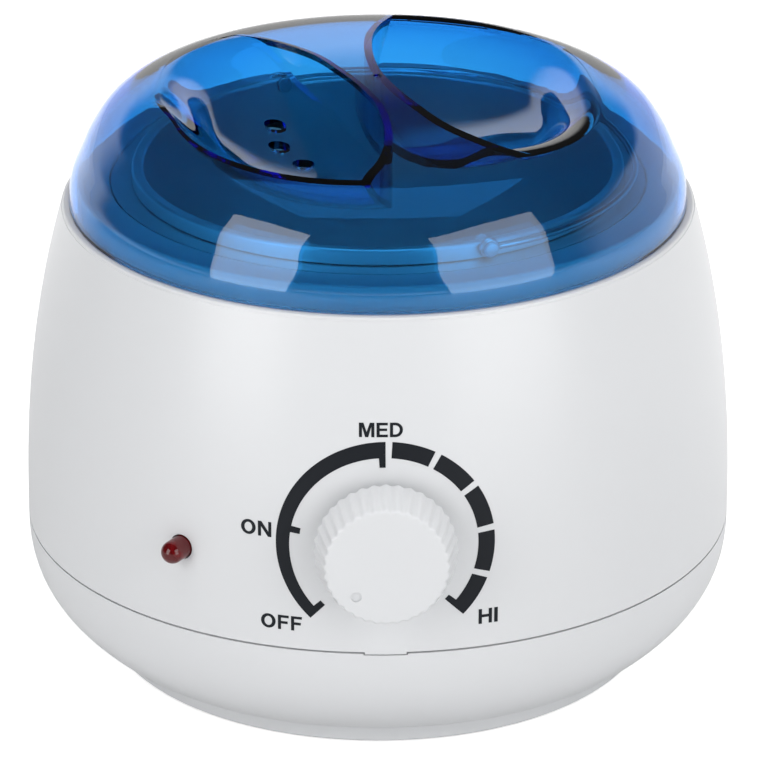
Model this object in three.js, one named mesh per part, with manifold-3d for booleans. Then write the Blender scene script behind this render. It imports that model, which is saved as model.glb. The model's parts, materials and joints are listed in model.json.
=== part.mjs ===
// Wax heater with a lift-out pot, a clear lid and a rotary thermostat.
// Millimetres, +Z up, the control side faces -Y. The shells are turned about one upright axis.
import * as THREE from 'three';
import { mergeVertices } from 'three/addons/utils/BufferGeometryUtils.js';
import Module from 'manifold-3d';

const wasm = await Module();
wasm.setup();

// Fits and finish
const gap = 0.3;
const overrun = 1;
const weldDistance = 1e-4;
const shellFacets = 56;
const bowlFacets = 36;
const smallFacets = 12;
const quarter = Math.PI / 2;
const cornerShare = 0.3;

// Outer shells
const bodyRadius = 90;
const wall = 2.5;
const seamHeight = 35.2;
const seamGap = 0.5;
const shoulderHeight = 118.8;
const shoulderInset = 10.5;
const shoulderCurveShare = 2.3;
const shoulderRound = 0.7;

// Base shell
const standoff = 0.8;
const footRingInset = 19.9;
const footRingHeight = 7.8;
const floorRecess = 1.7;
const bowlStartInset = 13.7;
const bowlCurveShare = 2.55;
const bowlStepShare = 1.5;
const lipHeight = 3;
const tabWidth = 10.2;
const tabDrop = 0.6;
const tabSetback = 0.05;

// Top of the upper shell
const collarFit = 1.1;
const collarHeight = 6.2;
const collarRound = 0.6;
const collarWidth = 8;
const ledgeDepth = 1.5;
const ledgeWidth = 3.7;
const skirtLength = 11.5;

// Lid
const lidSetback = 1.7;
const lidHeight = 28.9;
const lidWall = 2;
const lidOutlineShares = [[1, 0], [0.991, 0.2], [0.961, 0.4], [0.925, 0.6], [0.866, 0.8],
  [0.77, 0.925], [0.6, 0.967], [0.38, 0.99]];
const scoopDepth = 15.5;
const scoopMargin = 27.8;
const scoopX = -4;
const scoopY = -13;
const scoopGentleAzimuth = 2.18;
const scoopSteepShare = 7;
const scoopGentleShare = 2.6;
const scoopReachShare = 0.38;
const scoopSpreadShare = 6;
const scoopFacets = 32;
const scoopRings = [0, 0.45, 0.7, 0.83, 0.91, 0.96, 1];
const bridgeEdgeShares = [[-0.12, -0.93], [-0.06, -0.738], [-0.018, -0.63], [0.008, -0.5], [0.01, -0.33],
  [-0.012, -0.15], [-0.065, 0.02], [-0.13, 0.17], [-0.21, 0.325], [-0.328, 0.463], [-0.432, 0.542],
  [-0.56, 0.587], [-0.72, 0.6]];
const ventRadius = 2.75;
const ventPlaces = [[-25.8, 8.9], [-24.8, -2.8], [-18.8, -13.2]];
const gateMarkRadius = 1.1;
const gateMarkDepth = 0.5;
const gateMarkY = 8;

// Heating well and what hangs under it
const wellMargin = 7.1;
const wellTaper = 2;
const wellWall = 1;
const wellDepth = 61.5;
const wellCorner = 6;
const studRadius = 2;
const studOverhang = 5.45;
const bridgeThickness = 1.5;
const bridgeWidth = 14;
const nutAcross = 7;
const nutHeight = 3.2;
const smallNutAcross = 5.5;
const smallNutHeight = 2.4;

// Heater band and its wrap
const bandHeight = 25;
const bandLift = 13;
const bandThickness = 2.2;
const bandOpening = 8;
const earLength = 7;
const earHoleRadius = 1.6;
const wrapThickness = 3;
const wrapOverhang = 6;
const wrapOpening = 26;

// Pot and its bail handle
const potWall = 0.9;
const potFit = 0.6;
const potRimWidth = 2.2;
const potRimHeight = 3.8;
const potCorner = 5;
const potFloorThickness = 1.2;
const bailAzimuth = -66 * Math.PI / 180;
const bailWire = 1.6;
const bailBulge = 1.7;
const eyeRadius = 2.6;
const pivotShankRadius = 0.75;
const pivotHeadRadius = 1.9;
const pivotHeadThickness = 0.9;
const bailFacets = 6;
const bailSteps = 26;

// Thermostat and knob
const controlHeight = 63.2;
const knobFaceRadius = 15.3;
const knobRimRadius = 17.4;
const knobProjection = 11.5;
const knobEdgeRound = 0.9;
const knobRibs = 36;
const ribDepth = 0.45;
const knobShell = 2;
const knobHubRadius = 5.5;
const pointerRadius = 1.3;
const pointerDepth = 0.5;
const pointerDistance = 10.6;
const pointerAngle = 226.5 * Math.PI / 180;
const knobClearance = 0.4;
const knobSideShare = 0.55;
const shaftFit = 0.2;
const shaftRadius = 3;
const shaftFlatShare = 0.55;
const shaftHoleRadius = 4.4;
const thermostatWidth = 24;
const thermostatHeight = 26;
const thermostatDepth = 14;
const bushRadius = 5;
const bushLength = 3;
const bracketThickness = 1.2;
const bracketSpan = 46;
const bracketHeight = 18;
const bracketBossRadius = 3.5;
const bracketBoreDepth = 2.6;
const bracketScrewReach = 3.6;
const bracketScrewInset = 5;

// Pilot lamp
const lampHeight = 57;
const lampAzimuth = (-90 - 33.5) * Math.PI / 180;
const lensRadius = 2.85;
const lensProjection = 6.5;
const lensFlange = 1.3;
const lensFlangeThickness = 1.2;
const lensBore = 1.9;
const lensTail = 5;
const lampLeadRadius = 0.32;
const lampLength = 9;
const lampLeadGap = 2.2;
const retainerThickness = 1.6;

// Screw posts, feet, cooling slots
const postInset = 26;
const postRadius = 4.5;
const screwHeadRadius = 3.1;
const screwHeadHeight = 2.4;
const screwShankRadius = 1.4;
const screwLength = 16;
const postWeb = 4;
const postLength = 20;
const ribThickness = 2.5;
const footPadRadius = 7;
const footStemRadius = 2.2;
const footBarb = 0.8;
const slotCount = 12;
const slotInner = 24;
const slotLength = 18;
const slotWidth = 3;

// Cord inlet, terminals and over-heat cut-out
const inletHeight = 20;
const inletBossRadius = 9.5;
const inletBossLength = 12;
const inletHole = 5.4;
const glandBore = 3;
const inletFacets = 20;
const glandFlangeRadius = 7.5;
const glandFlangeThickness = 2;
const terminalSize = [30, 15, 11];
const terminalPitch = 9;
const terminalHole = 2;
const terminalInset = 48;
const cutoffRadius = 7.9;
const cutoffNeck = 5.9;
const cutoffHeight = 4.4;
const cutoffTail = 7;
const cutoffX = 28;
const cutoffStudSpacing = 22;
const clipThickness = 1;
const clipStandHeight = 4.4;
const clipStandRadius = 2.8;
const clipScrewRadius = 1.1;
const bladeSize = [0.8, 4, 7];

// Colours
const colours = {
  shell: 0xe9eaec, lid: 0x0d4f93, aluminium: 0xb9bcc0, steel: 0x9a9da1, rubber: 0x2b2c2e,
  bandSkin: 0x8d8f92, wrap: 0xd8d2c0, bakelite: 0x26221f, lens: 0x8c0a14, glass: 0xe0a080,
  terminal: 0xf0efe9, brass: 0xb8974c,
};

// Turns a closed geometry into a solid for joining and cutting, with its faces outward.
function toSolid(geometry) {
  const bare = geometry.clone();
  bare.deleteAttribute('normal');
  bare.deleteAttribute('uv');
  const welded = mergeVertices(bare, weldDistance);
  const corners = welded.index.array;
  const kept = [];
  for (let i = 0; i < corners.length; i += 3) {
    const [a, b, c] = [corners[i], corners[i + 1], corners[i + 2]];
    if (a !== b && b !== c && c !== a) kept.push(a, b, c);
  }
  const places = new Float32Array(welded.attributes.position.array);
  const build = (order) => new wasm.Manifold(new wasm.Mesh({
    numProp: 3, vertProperties: places, triVerts: new Uint32Array(order),
  }));
  const solid = build(kept);
  return solid.volume() < 0 ? build(kept.reverse()) : solid;
}

function toGeometry(solid) {
  const mesh = solid.getMesh();
  const geometry = new THREE.BufferGeometry();
  geometry.setAttribute('position', new THREE.BufferAttribute(new Float32Array(mesh.vertProperties), 3));
  geometry.setIndex(new THREE.BufferAttribute(new Uint32Array(mesh.triVerts), 1));
  return geometry;
}

const join = (...pieces) => toGeometry(pieces.map(toSolid).reduce((a, b) => a.add(b)));
const cut = (body, ...tools) => toGeometry(tools.map(toSolid).reduce((a, b) => a.subtract(b), toSolid(body)));
const common = (a, b) => toGeometry(toSolid(a).intersect(toSolid(b)));

// A profile of [radius, height] pairs turned about the upright axis.
function turned(profile, facets = smallFacets) {
  const geometry = new THREE.LatheGeometry(profile.map(([r, z]) => new THREE.Vector2(r, z)), facets);
  return geometry.rotateX(quarter);
}

// A ring profile that doesn't reach the axis closes on its first point.
const turnedRing = (profile, facets) => turned([...profile, profile[0]], facets);

function disc(radius, low, high, facets = smallFacets) {
  return turned([[0, low], [radius, low], [radius, high], [0, high]], facets);
}

function ring(inner, outer, low, high, facets = smallFacets) {
  return turnedRing([[inner, low], [outer, low], [outer, high], [inner, high]], facets);
}

// A box centred in X and Y that stands on the height low.
function block(width, depth, height, x = 0, y = 0, low = 0) {
  return new THREE.BoxGeometry(width, depth, height).translate(x, y, low + height / 2);
}

// Turns a piece built upwards so that it points at the front.
const facingFront = (geometry) => geometry.rotateX(quarter);

// Turns a piece built upwards so that it points outward at an azimuth.
const facingOut = (geometry, azimuth) => geometry.rotateY(quarter).rotateZ(azimuth);

const atAzimuth = (geometry, azimuth) => geometry.rotateZ(azimuth);

const steps = (count) => Array.from({ length: count + 1 }, (_, i) => i / count);

// Heights and radii that several pieces share
const lidRadius = bodyRadius - shoulderInset - lidSetback;
const collarRadius = lidRadius - lidWall - collarFit;
const ringBore = collarRadius - collarWidth;
const wellBore = ringBore - wellMargin;
const scoopRadius = lidRadius - scoopMargin;
const footRingRadius = bodyRadius - footRingInset;
const bowlStartRadius = bodyRadius - bowlStartInset;
const postCircle = bodyRadius - postInset;
const footCircle = footRingRadius - wall - footPadRadius - 2 * gap;
const inletBossFace = bodyRadius - wall;
const terminalY = bodyRadius - terminalInset;
const seamTop = seamHeight + seamGap / 2;
const seamBottom = seamHeight - seamGap / 2;
const ringTop = shoulderHeight + collarHeight;
const ledgeTop = ringTop - ledgeDepth;
const ledgeBore = ringBore - ledgeWidth;
const wellFloor = ledgeTop - wellDepth;
const plateLow = standoff + floorRecess;
const plateTop = plateLow + wall;
const lidSeat = shoulderHeight + gap;
const crown = lidSeat + lidHeight;
const knobBack = bodyRadius + knobClearance;
const frontRadius = housingRadius(controlHeight);
const knobFront = frontRadius + knobProjection;
const knobDepth = knobFront - knobBack;
const bridgeLow = seamTop;
const postLow = bridgeLow + bridgeThickness + gap;
const ribLow = seamBottom + lipHeight + gap;
const postTop = postLow + postLength;
const flangeTop = ledgeTop + gap + wellWall;
const potRimLow = flangeTop + gap;
const potRimTop = potRimLow + potRimHeight;
const pivotHeight = flangeTop + gap + eyeRadius;
const facetShare = Math.cos(Math.PI / shellFacets);
const panelWall = (housingRadius(controlHeight + bracketHeight / 2) - wall) * facetShare;
const panelY = Math.sqrt(panelWall ** 2 - (bracketSpan / 2) ** 2) - gap;
const thermostatFront = panelY - bracketThickness - gap;
const bracketScrewX = bracketSpan / 2 - bracketScrewInset;
const bossReach = Math.sqrt((frontRadius - wall / 2) ** 2 - (bracketScrewX + bracketBossRadius) ** 2);
const cutoffTop = wellFloor - gap;

function housingRadius(z) {
  const share = Math.max((z - seamHeight) / (shoulderHeight - seamHeight), 0);
  return bodyRadius - shoulderInset * share ** shoulderCurveShare;
}

function baseRadius(z) {
  const share = 1 - (z - footRingHeight) / (seamHeight - footRingHeight);
  return bowlStartRadius + (bodyRadius - bowlStartRadius) * (1 - Math.max(share, 0) ** bowlCurveShare);
}

function wellOuter(z) {
  return wellBore + wellWall - wellTaper * (ringTop - z) / (ringTop - wellFloor);
}

// Upper shell: outer wall, lid shelf, collar, ledge for the well and the skirt below it.
function upperShellForm() {
  const outer = steps(5).map((t) => {
    const z = seamTop + (shoulderHeight - shoulderRound - seamTop) * t;
    return [housingRadius(z), z];
  });
  const shelfUnder = shoulderHeight - wall;
  const inner = steps(2).map((t) => {
    const z = shelfUnder - wall - (shelfUnder - wall - seamTop) * t;
    return [housingRadius(z) - wall, z];
  });
  return turnedRing([
    ...outer,
    [housingRadius(shoulderHeight) - shoulderRound, shoulderHeight],
    [collarRadius, shoulderHeight],
    [collarRadius, ringTop - collarRound],
    [collarRadius - collarRound, ringTop],
    [ringBore, ringTop],
    [ringBore, ledgeTop],
    [ledgeBore, ledgeTop],
    [ledgeBore, ledgeTop - skirtLength],
    [ledgeBore + wall, ledgeTop - skirtLength],
    [ledgeBore + wall, ledgeTop - wall],
    [collarRadius - wall, ledgeTop - wall],
    [collarRadius - wall, shelfUnder],
    [housingRadius(shelfUnder) - 2 * wall, shelfUnder],
    ...inner,
  ], shellFacets);
}

// A screw post on a rib that ties it to the outer wall.
function housingPost(azimuth) {
  const reach = bodyRadius - wall / 2 - postCircle;
  const rib = block(reach, ribThickness, postTop - ribLow, postCircle + reach / 2, 0, ribLow);
  const barrel = disc(postRadius, postLow, postTop).translate(postCircle, 0, 0);
  return atAzimuth(join(rib, barrel), azimuth);
}

function screwBore(azimuth) {
  const bore = disc(screwShankRadius + gap, seamTop - overrun, postTop - wall);
  return atAzimuth(bore.translate(postCircle, 0, 0), azimuth);
}

const postAzimuths = [1, 3, 5, 7].map((n) => n * quarter / 2);

// A short boss on the inside of the wall for one screw of the thermostat's bracket.
function bracketBoss(side) {
  const boss = disc(bracketBossRadius, panelY + gap, bossReach);
  return facingFront(boss).translate(side * bracketScrewX, 0, controlHeight);
}

function bracketBore(side) {
  const bore = disc(screwShankRadius, panelY - overrun, panelY + bracketBoreDepth);
  return facingFront(bore).translate(side * bracketScrewX, 0, controlHeight);
}

function upperHousing() {
  const tabY = -bodyRadius + wall / 2 + gap;
  const tab = block(tabWidth, wall + gap, tabDrop + 2 * wall, 0, tabY, seamTop - tabDrop);
  const tabLow = seamTop - tabDrop;
  const tabBand = ring(bodyRadius - wall, bodyRadius - tabSetback, tabLow, seamTop + wall, shellFacets);
  const bosses = [bracketBoss(-1), bracketBoss(1), lampSocket(), ...postAzimuths.map(housingPost)];
  const shaftHole = facingFront(disc(shaftHoleRadius, 0, bodyRadius + overrun))
    .translate(0, 0, controlHeight);
  const lampHole = onLampLine(disc(lensRadius + gap, 0, bodyRadius + overrun));
  const bores = [bracketBore(-1), bracketBore(1), ...postAzimuths.map(screwBore)];
  return cut(join(upperShellForm(), common(tab, tabBand), ...bosses), shaftHole, lampHole, ...bores);
}

// Base shell: recessed floor, foot ring, rounded side and the lip that locates the upper shell.
function baseShellForm() {
  const outer = steps(5).map((t) => {
    const z = footRingHeight + (seamBottom - footRingHeight) * t ** bowlStepShare;
    return [baseRadius(z), z];
  });
  const innerLow = footRingHeight + wall;
  const inner = steps(2).map((t) => {
    const z = seamBottom - wall - (seamBottom - wall - innerLow) * t;
    return [baseRadius(z) - wall, z];
  });
  const lipRadius = bodyRadius - wall - gap;
  return turned([
    [0, plateLow],
    [footRingRadius - wall, plateLow],
    [footRingRadius - wall, standoff],
    [footRingRadius, standoff],
    [footRingRadius, footRingHeight],
    ...outer,
    [lipRadius, seamBottom],
    [lipRadius, seamBottom + lipHeight],
    [lipRadius - wall + gap, seamBottom + lipHeight],
    ...inner,
    [footRingRadius - wall, innerLow],
    [footRingRadius - wall, plateTop],
    [0, plateTop],
  ], shellFacets);
}

// Two opposite posts stop short, because the well's cross strip lies on them.
const basePostTop = (index) => (index % 2 === 0 ? bridgeLow : postLow) - gap;

function basePost(index) {
  const post = disc(postRadius, plateLow + wall / 2, basePostTop(index)).translate(postCircle, 0, 0);
  return atAzimuth(post, postAzimuths[index]);
}

function basePostBore(index) {
  const top = basePostTop(index);
  const recess = disc(screwHeadRadius + gap, standoff - overrun, top - postWeb);
  const hole = disc(screwShankRadius + gap, standoff, top + overrun);
  return atAzimuth(join(recess, hole).translate(postCircle, 0, 0), postAzimuths[index]);
}

const footAzimuths = [0, 1, 2, 3].map((n) => n * quarter);

function footHole(azimuth) {
  const hole = disc(footStemRadius + gap, plateLow - overrun, plateTop + overrun);
  return atAzimuth(hole.translate(footCircle, 0, 0), azimuth);
}

// One cooling slot with round ends, cut through the floor along a radius.
function coolingSlot(index) {
  const half = slotWidth / 2;
  const outline = new THREE.Shape();
  outline.absarc(slotInner + slotLength - half, 0, half, -quarter, quarter, false);
  outline.absarc(slotInner + half, 0, half, quarter, 3 * quarter, false);
  const slot = new THREE.ExtrudeGeometry(outline, {
    depth: wall + 2 * overrun, bevelEnabled: false, curveSegments: 2,
  }).translate(0, 0, plateLow - overrun);
  return atAzimuth(slot, (index + 0.5) * 4 * quarter / slotCount);
}

function baseHousing() {
  const boss = facingFront(disc(inletBossRadius, -inletBossFace, inletBossLength - inletBossFace))
    .translate(0, 0, inletHeight);
  const outEnd = -bodyRadius - overrun;
  const inlet = facingFront(disc(inletHole, outEnd, -bodyRadius / 2, inletFacets))
    .translate(0, 0, inletHeight);
  const recess = facingFront(disc(glandFlangeRadius + 2 * gap, outEnd, -inletBossFace, inletFacets))
    .translate(0, 0, inletHeight);
  const notch = block(tabWidth + 2 * gap, 2 * wall, seamGap + tabDrop + lipHeight,
    0, -bodyRadius + gap, seamTop - tabDrop - gap);
  const outside = ring(bodyRadius - wall - gap, bodyRadius + overrun, 0, seamTop + lipHeight, shellFacets);
  const indexes = postAzimuths.map((_, i) => i);
  const body = join(baseShellForm(), boss, ...indexes.map(basePost));
  return cut(body, inlet, recess, common(notch, outside), ...indexes.map(basePostBore),
    ...footAzimuths.map(footHole), ...Array.from({ length: slotCount }, (_, i) => coolingSlot(i)));
}

function foot() {
  const top = plateTop + gap;
  return turned([
    [0, 0], [footPadRadius - footBarb, 0], [footPadRadius, footBarb], [footPadRadius, plateLow - gap],
    [footStemRadius, plateLow - gap], [footStemRadius, top], [footStemRadius + footBarb, top],
    [footStemRadius, top + 2 * footBarb], [0, top + 2 * footBarb],
  ]);
}

// A pan-head screw that points up, with its head's seat at height zero.
function screw(shank, length, head, headHeight) {
  return turned([
    [0, -headHeight], [head - headHeight / 2, -headHeight], [head, -headHeight / 2], [head, 0],
    [shank, 0], [shank, length - shank], [0, length],
  ], 8);
}

// Moves every point of a turned form by a rule of its radius, azimuth and height.
function shaped(geometry, rule) {
  const places = geometry.attributes.position;
  for (let i = 0; i < places.count; i += 1) {
    const [x, y, z] = [places.getX(i), places.getY(i), places.getZ(i)];
    const [radius, height] = rule(Math.hypot(x, y), Math.atan2(y, x), z);
    const azimuth = Math.atan2(y, x);
    places.setXYZ(i, radius * Math.cos(azimuth), radius * Math.sin(azimuth), height);
  }
  return geometry;
}

// The lid's dome, drawn in by an inset all over.
function dome(inset) {
  const corners = lidOutlineShares.map(([r, z]) => new THREE.Vector2(lidRadius * r, lidHeight * z));
  const curve = new THREE.SplineCurve(corners);
  const side = curve.getPoints(8).map((p) => [p.x - inset, lidSeat + p.y - inset * (p.y / lidHeight)]);
  const open = inset > 0 ? [[0, lidSeat - overrun], [lidRadius - inset, lidSeat - overrun]] : [[0, lidSeat]];
  return turned([...open, ...side, [0, crown - inset]], shellFacets);
}

// A rounded hollow, steep at the front and running out gently at its back left.
function scoopBowl(offset) {
  const top = crown + overrun;
  const low = crown - scoopDepth - offset;
  const unit = turned([...scoopRings.map((s) => [s, 0]), [0, 1]], scoopFacets);
  const rule = (share, azimuth, level) => {
    const gentle = ((1 + Math.cos(azimuth - scoopGentleAzimuth)) / 2) ** scoopSpreadShare;
    const power = scoopSteepShare + (scoopGentleShare - scoopSteepShare) * gentle;
    const reach = scoopRadius * (1 + scoopReachShare * gentle) + offset;
    return [reach * share, level > 0.5 ? top : low + (top - low) * share ** power];
  };
  return shaped(unit, rule).translate(scoopX, scoopY, 0);
}

// Everything on the left of the grip's S-shaped wall.
function leftOfGrip(offset) {
  const curve = new THREE.SplineCurve(bridgeEdgeShares.map(([x, y]) => new THREE.Vector2(x, y)
    .multiplyScalar(lidRadius)));
  const edge = steps(24).map((t) => {
    const normal = curve.getTangent(t);
    return curve.getPoint(t).add(new THREE.Vector2(normal.y, -normal.x).multiplyScalar(offset));
  });
  const far = -lidRadius - overrun;
  const outline = new THREE.Shape([...edge, new THREE.Vector2(far, edge.at(-1).y),
    new THREE.Vector2(far, edge[0].y)]);
  return new THREE.ExtrudeGeometry(outline, { depth: lidHeight, bevelEnabled: false })
    .translate(0, 0, lidSeat + overrun);
}

function scoop(offset, side) {
  return common(scoopBowl(offset), leftOfGrip(offset)).rotateZ(side * 2 * quarter);
}

function lid() {
  const outside = cut(dome(0), scoop(0, 0), scoop(0, 1));
  const inside = cut(dome(lidWall), scoop(lidWall, 0), scoop(lidWall, 1));
  const vents = ventPlaces.map(([x, y]) => disc(ventRadius, lidSeat, crown).translate(x, y, 0));
  const mark = disc(gateMarkRadius, crown - gateMarkDepth, crown + overrun).translate(0, gateMarkY, 0);
  return cut(outside, inside, ...vents, mark);
}

// The fixed bowl that hangs by its flange, with the stud that pulls it down.
function heaterWell() {
  const low = wellFloor + wellCorner;
  const flange = ringBore - gap;
  const flangeLow = flangeTop - wellWall;
  const inner = (z) => wellOuter(z) - wellWall;
  const chamfer = wellCorner * cornerShare;
  const thick = wellWall * (1 - cornerShare);
  const bowl = turned([
    [0, wellFloor], [wellOuter(low) - wellCorner, wellFloor],
    [wellOuter(low) - chamfer, wellFloor + chamfer], [wellOuter(low), low],
    [wellOuter(flangeLow), flangeLow], [flange, flangeLow], [flange, flangeTop],
    [inner(flangeTop), flangeTop], [inner(low), low],
    [wellOuter(low) - chamfer - thick, wellFloor + chamfer + thick],
    [wellOuter(low) - wellCorner, wellFloor + wellWall], [0, wellFloor + wellWall],
  ], bowlFacets);
  const stud = disc(studRadius, bridgeLow - studOverhang, wellFloor + wellWall / 2);
  const standLow = wellFloor - clipStandHeight;
  const onStands = (piece) => [-1, 1].map((side) => piece.clone()
    .translate(cutoffX, side * cutoffStudSpacing / 2, 0));
  const stands = onStands(disc(clipStandRadius, standLow, wellFloor + wellWall / 2));
  const holes = onStands(disc(clipScrewRadius + gap, standLow - overrun, wellFloor - gap));
  return cut(join(bowl, stud, ...stands), ...holes);
}

// A steel strip across two posts that the well's stud is drawn down against.
function wellBridge() {
  const strip = block(2 * (postCircle + postRadius), bridgeWidth, bridgeThickness, 0, 0, bridgeLow);
  const hole = (x, radius) => disc(radius + gap, bridgeLow - overrun, bridgeLow + bridgeThickness + overrun)
    .translate(x, 0, 0);
  const ends = [-1, 1].map((side) => hole(side * postCircle, screwShankRadius));
  const plate = cut(strip, hole(0, studRadius), ...ends);
  return atAzimuth(plate, postAzimuths[0]);
}

function hexNut(hole, across, height) {
  const body = disc(across / 2 / Math.cos(quarter / 3), 0, height, 6);
  return cut(body, disc(hole + gap, -overrun, height + overrun));
}

const bandLow = wellFloor + bandLift;
const bandInner = wellOuter(bandLow + bandHeight) + gap;
const bandOuter = bandInner + bandThickness;
const bandEar = bandThickness;

// The heating band with an ear on each side of its opening at the back.
function heaterBand() {
  const hoop = ring(bandInner, bandOuter, bandLow, bandLow + bandHeight, bowlFacets);
  const opening = block(bandOpening, 2 * bandOuter, bandHeight + 2 * overrun, 0, bandOuter,
    bandLow - overrun);
  const earX = (bandOpening + bandEar) / 2;
  const ears = [-1, 1].map((side) => block(bandEar, earLength + bandThickness, bandHeight / 2, side * earX,
    bandInner + (earLength + bandThickness) / 2 + bandThickness / 4, bandLow + bandHeight / 4));
  const hole = disc(earHoleRadius, -bandOuter, bandOuter).rotateY(quarter)
    .translate(0, bandOuter + earLength / 2, bandLow + bandHeight / 2);
  return cut(join(cut(hoop, opening), ...ears), hole);
}

// The glass-fibre wrap round the band, open where the band's ears stand out.
function insulationWrap() {
  const inner = bandOuter + gap;
  const low = bandLow - wrapOverhang;
  const high = bandLow + bandHeight + wrapOverhang;
  const sleeve = ring(inner, inner + wrapThickness, low, high, bowlFacets);
  const opening = block(wrapOpening, 2 * inner, high - low + 2 * overrun, 0, inner, low - overrun);
  return cut(sleeve, opening);
}

function bandScrewLine(piece) {
  return piece.rotateY(quarter).translate(0, bandOuter + earLength / 2, bandLow + bandHeight / 2);
}

const bandGrip = bandOpening / 2 + bandEar + gap;

function potOuter(z) {
  return wellOuter(z) - wellWall - potFit;
}

// The lift-out pot: tapered wall, rounded corner and a stiff upright rim.
function waxPot() {
  const floor = wellFloor + wellWall + potFit;
  const low = floor + potCorner;
  const rim = potOuter(potRimLow) + potRimWidth;
  const round = potWall / 2;
  const inner = (z) => potOuter(z) - potWall;
  const corner = potCorner * cornerShare;
  const body = turned([
    [0, floor], [potOuter(low) - potCorner, floor], [potOuter(low) - corner, floor + corner],
    [potOuter(low), low], [potOuter(potRimLow), potRimLow], [rim, potRimLow],
    [rim, potRimTop - round], [rim - round, potRimTop],
    [inner(potRimTop) + round, potRimTop], [inner(potRimTop), potRimTop - round], [inner(low), low],
    [inner(low) - corner, floor + corner + potWall / 2], [inner(low) - potCorner, floor + potFloorThickness],
    [0, floor + potFloorThickness],
  ], bowlFacets);
  const holes = [0, 2].map((turn) => facingOut(disc(pivotShankRadius + shaftFit, potOuter(low) - potRimWidth,
    bodyRadius), bailAzimuth + turn * quarter).translate(0, 0, pivotHeight));
  return cut(body, ...holes);
}

const rimRadius = potOuter(potRimLow) + potRimWidth;
const eyeDistance = rimRadius + gap + bailWire / 2;

// A rivet through the rim that a wire eye turns on.
function pivotRivet(turn) {
  const inside = potOuter(potRimTop) - potWall - gap;
  const outside = eyeDistance + bailWire / 2 + gap;
  const rivet = turned([
    [0, inside - pivotHeadThickness], [pivotHeadRadius, inside - pivotHeadThickness],
    [pivotHeadRadius, inside], [pivotShankRadius, inside],
    [pivotShankRadius, outside], [pivotHeadRadius, outside],
    [pivotHeadRadius - gap, outside + pivotHeadThickness], [0, outside + pivotHeadThickness],
  ], 10);
  return facingOut(rivet, bailAzimuth + turn * quarter).translate(0, 0, pivotHeight);
}

// The bail: one wire round half the rim with an eye bent at each end.
function potHandle() {
  const eyeLoop = eyeRadius - bailWire / 2;
  const start = eyeLoop / eyeDistance;
  const points = steps(14).map((t) => {
    const angle = start + (2 * quarter - 2 * start) * t;
    const radius = eyeDistance + bailBulge * Math.sin(2 * quarter * t);
    return new THREE.Vector3(radius * Math.cos(angle), radius * Math.sin(angle), 0);
  });
  const section = new THREE.Shape().absarc(0, 0, bailWire / 2, 0, 4 * quarter, false);
  const wire = new THREE.ExtrudeGeometry(section, {
    steps: bailSteps,
    curveSegments: bailFacets / 2,
    bevelEnabled: false,
    extrudePath: new THREE.CatmullRomCurve3(points),
  });
  const eye = facingOut(new THREE.TorusGeometry(eyeLoop, bailWire / 2, bailFacets, 2 * bailFacets), 0)
    .translate(eyeDistance, 0, 0);
  const eyes = [0, 2].map((turn) => eye.clone().rotateZ(turn * quarter));
  return atAzimuth(join(wire, ...eyes), bailAzimuth).translate(0, 0, pivotHeight);
}

// A shaft with one flat, used for the shaft and, wider, for the bore that takes it.
function flattedShaft(radius, flat, low, high) {
  const keep = block(2 * radius, radius + flat, high - low, 0, (flat - radius) / 2, low);
  return common(disc(radius, low, high), keep);
}

const shaftEnd = knobFront - 2 * knobShell + shaftFit;

function thermostatShaft() {
  const shaft = join(disc(shaftRadius, thermostatFront - thermostatDepth / 3, knobBack - gap),
    flattedShaft(shaftRadius, shaftRadius * shaftFlatShare, knobBack - overrun, shaftEnd - gap));
  return facingFront(shaft).translate(0, 0, controlHeight);
}

// The grip: fine ribs all round, flared towards the housing, with a small sunk pointer in its face.
function knob() {
  const side = knobDepth * knobSideShare;
  const profile = [[0, 0], [knobRimRadius, 0],
    [(knobRimRadius + knobFaceRadius) / 2, side], [knobFaceRadius, knobDepth - knobEdgeRound],
    [knobFaceRadius - knobEdgeRound, knobDepth], [0, knobDepth]];
  const ribbed = shaped(turned(profile, 2 * knobRibs), (radius, azimuth, height) => {
    const groove = radius < knobFaceRadius ? 0 : ribDepth * (1 - Math.cos(knobRibs * azimuth)) / 2;
    return [radius - groove, height];
  });
  const hollow = ring(knobHubRadius, knobFaceRadius - knobShell, -overrun, knobDepth - knobShell, 24);
  const flat = shaftRadius * shaftFlatShare + shaftFit;
  const bore = flattedShaft(shaftRadius + shaftFit, flat, -overrun, shaftEnd - knobBack);
  const pointer = disc(pointerRadius, knobDepth - pointerDepth, knobDepth + overrun)
    .translate(pointerDistance * Math.cos(pointerAngle), pointerDistance * Math.sin(pointerAngle), 0);
  return facingFront(cut(ribbed, hollow, bore, pointer)).translate(0, -knobBack, controlHeight);
}

// The switch body with its threaded bush and two terminal blades.
function thermostatBody() {
  const back = thermostatFront - thermostatDepth;
  const body = block(thermostatWidth, thermostatDepth, thermostatHeight, 0, -(thermostatFront + back) / 2,
    controlHeight - thermostatHeight / 2);
  const bush = facingFront(disc(bushRadius, back + gap, thermostatFront + bushLength))
    .translate(0, 0, controlHeight);
  const bore = facingFront(disc(shaftRadius + shaftFit, thermostatFront - thermostatDepth / 2, bodyRadius))
    .translate(0, 0, controlHeight);
  const [thin, wide, long] = bladeSize;
  const blades = [-1, 1].map((side) => block(thin, wide, long + overrun, side * thermostatWidth / 4,
    -(thermostatFront + back) / 2, controlHeight - thermostatHeight / 2 - long));
  return cut(join(body, bush, ...blades), bore);
}

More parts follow.
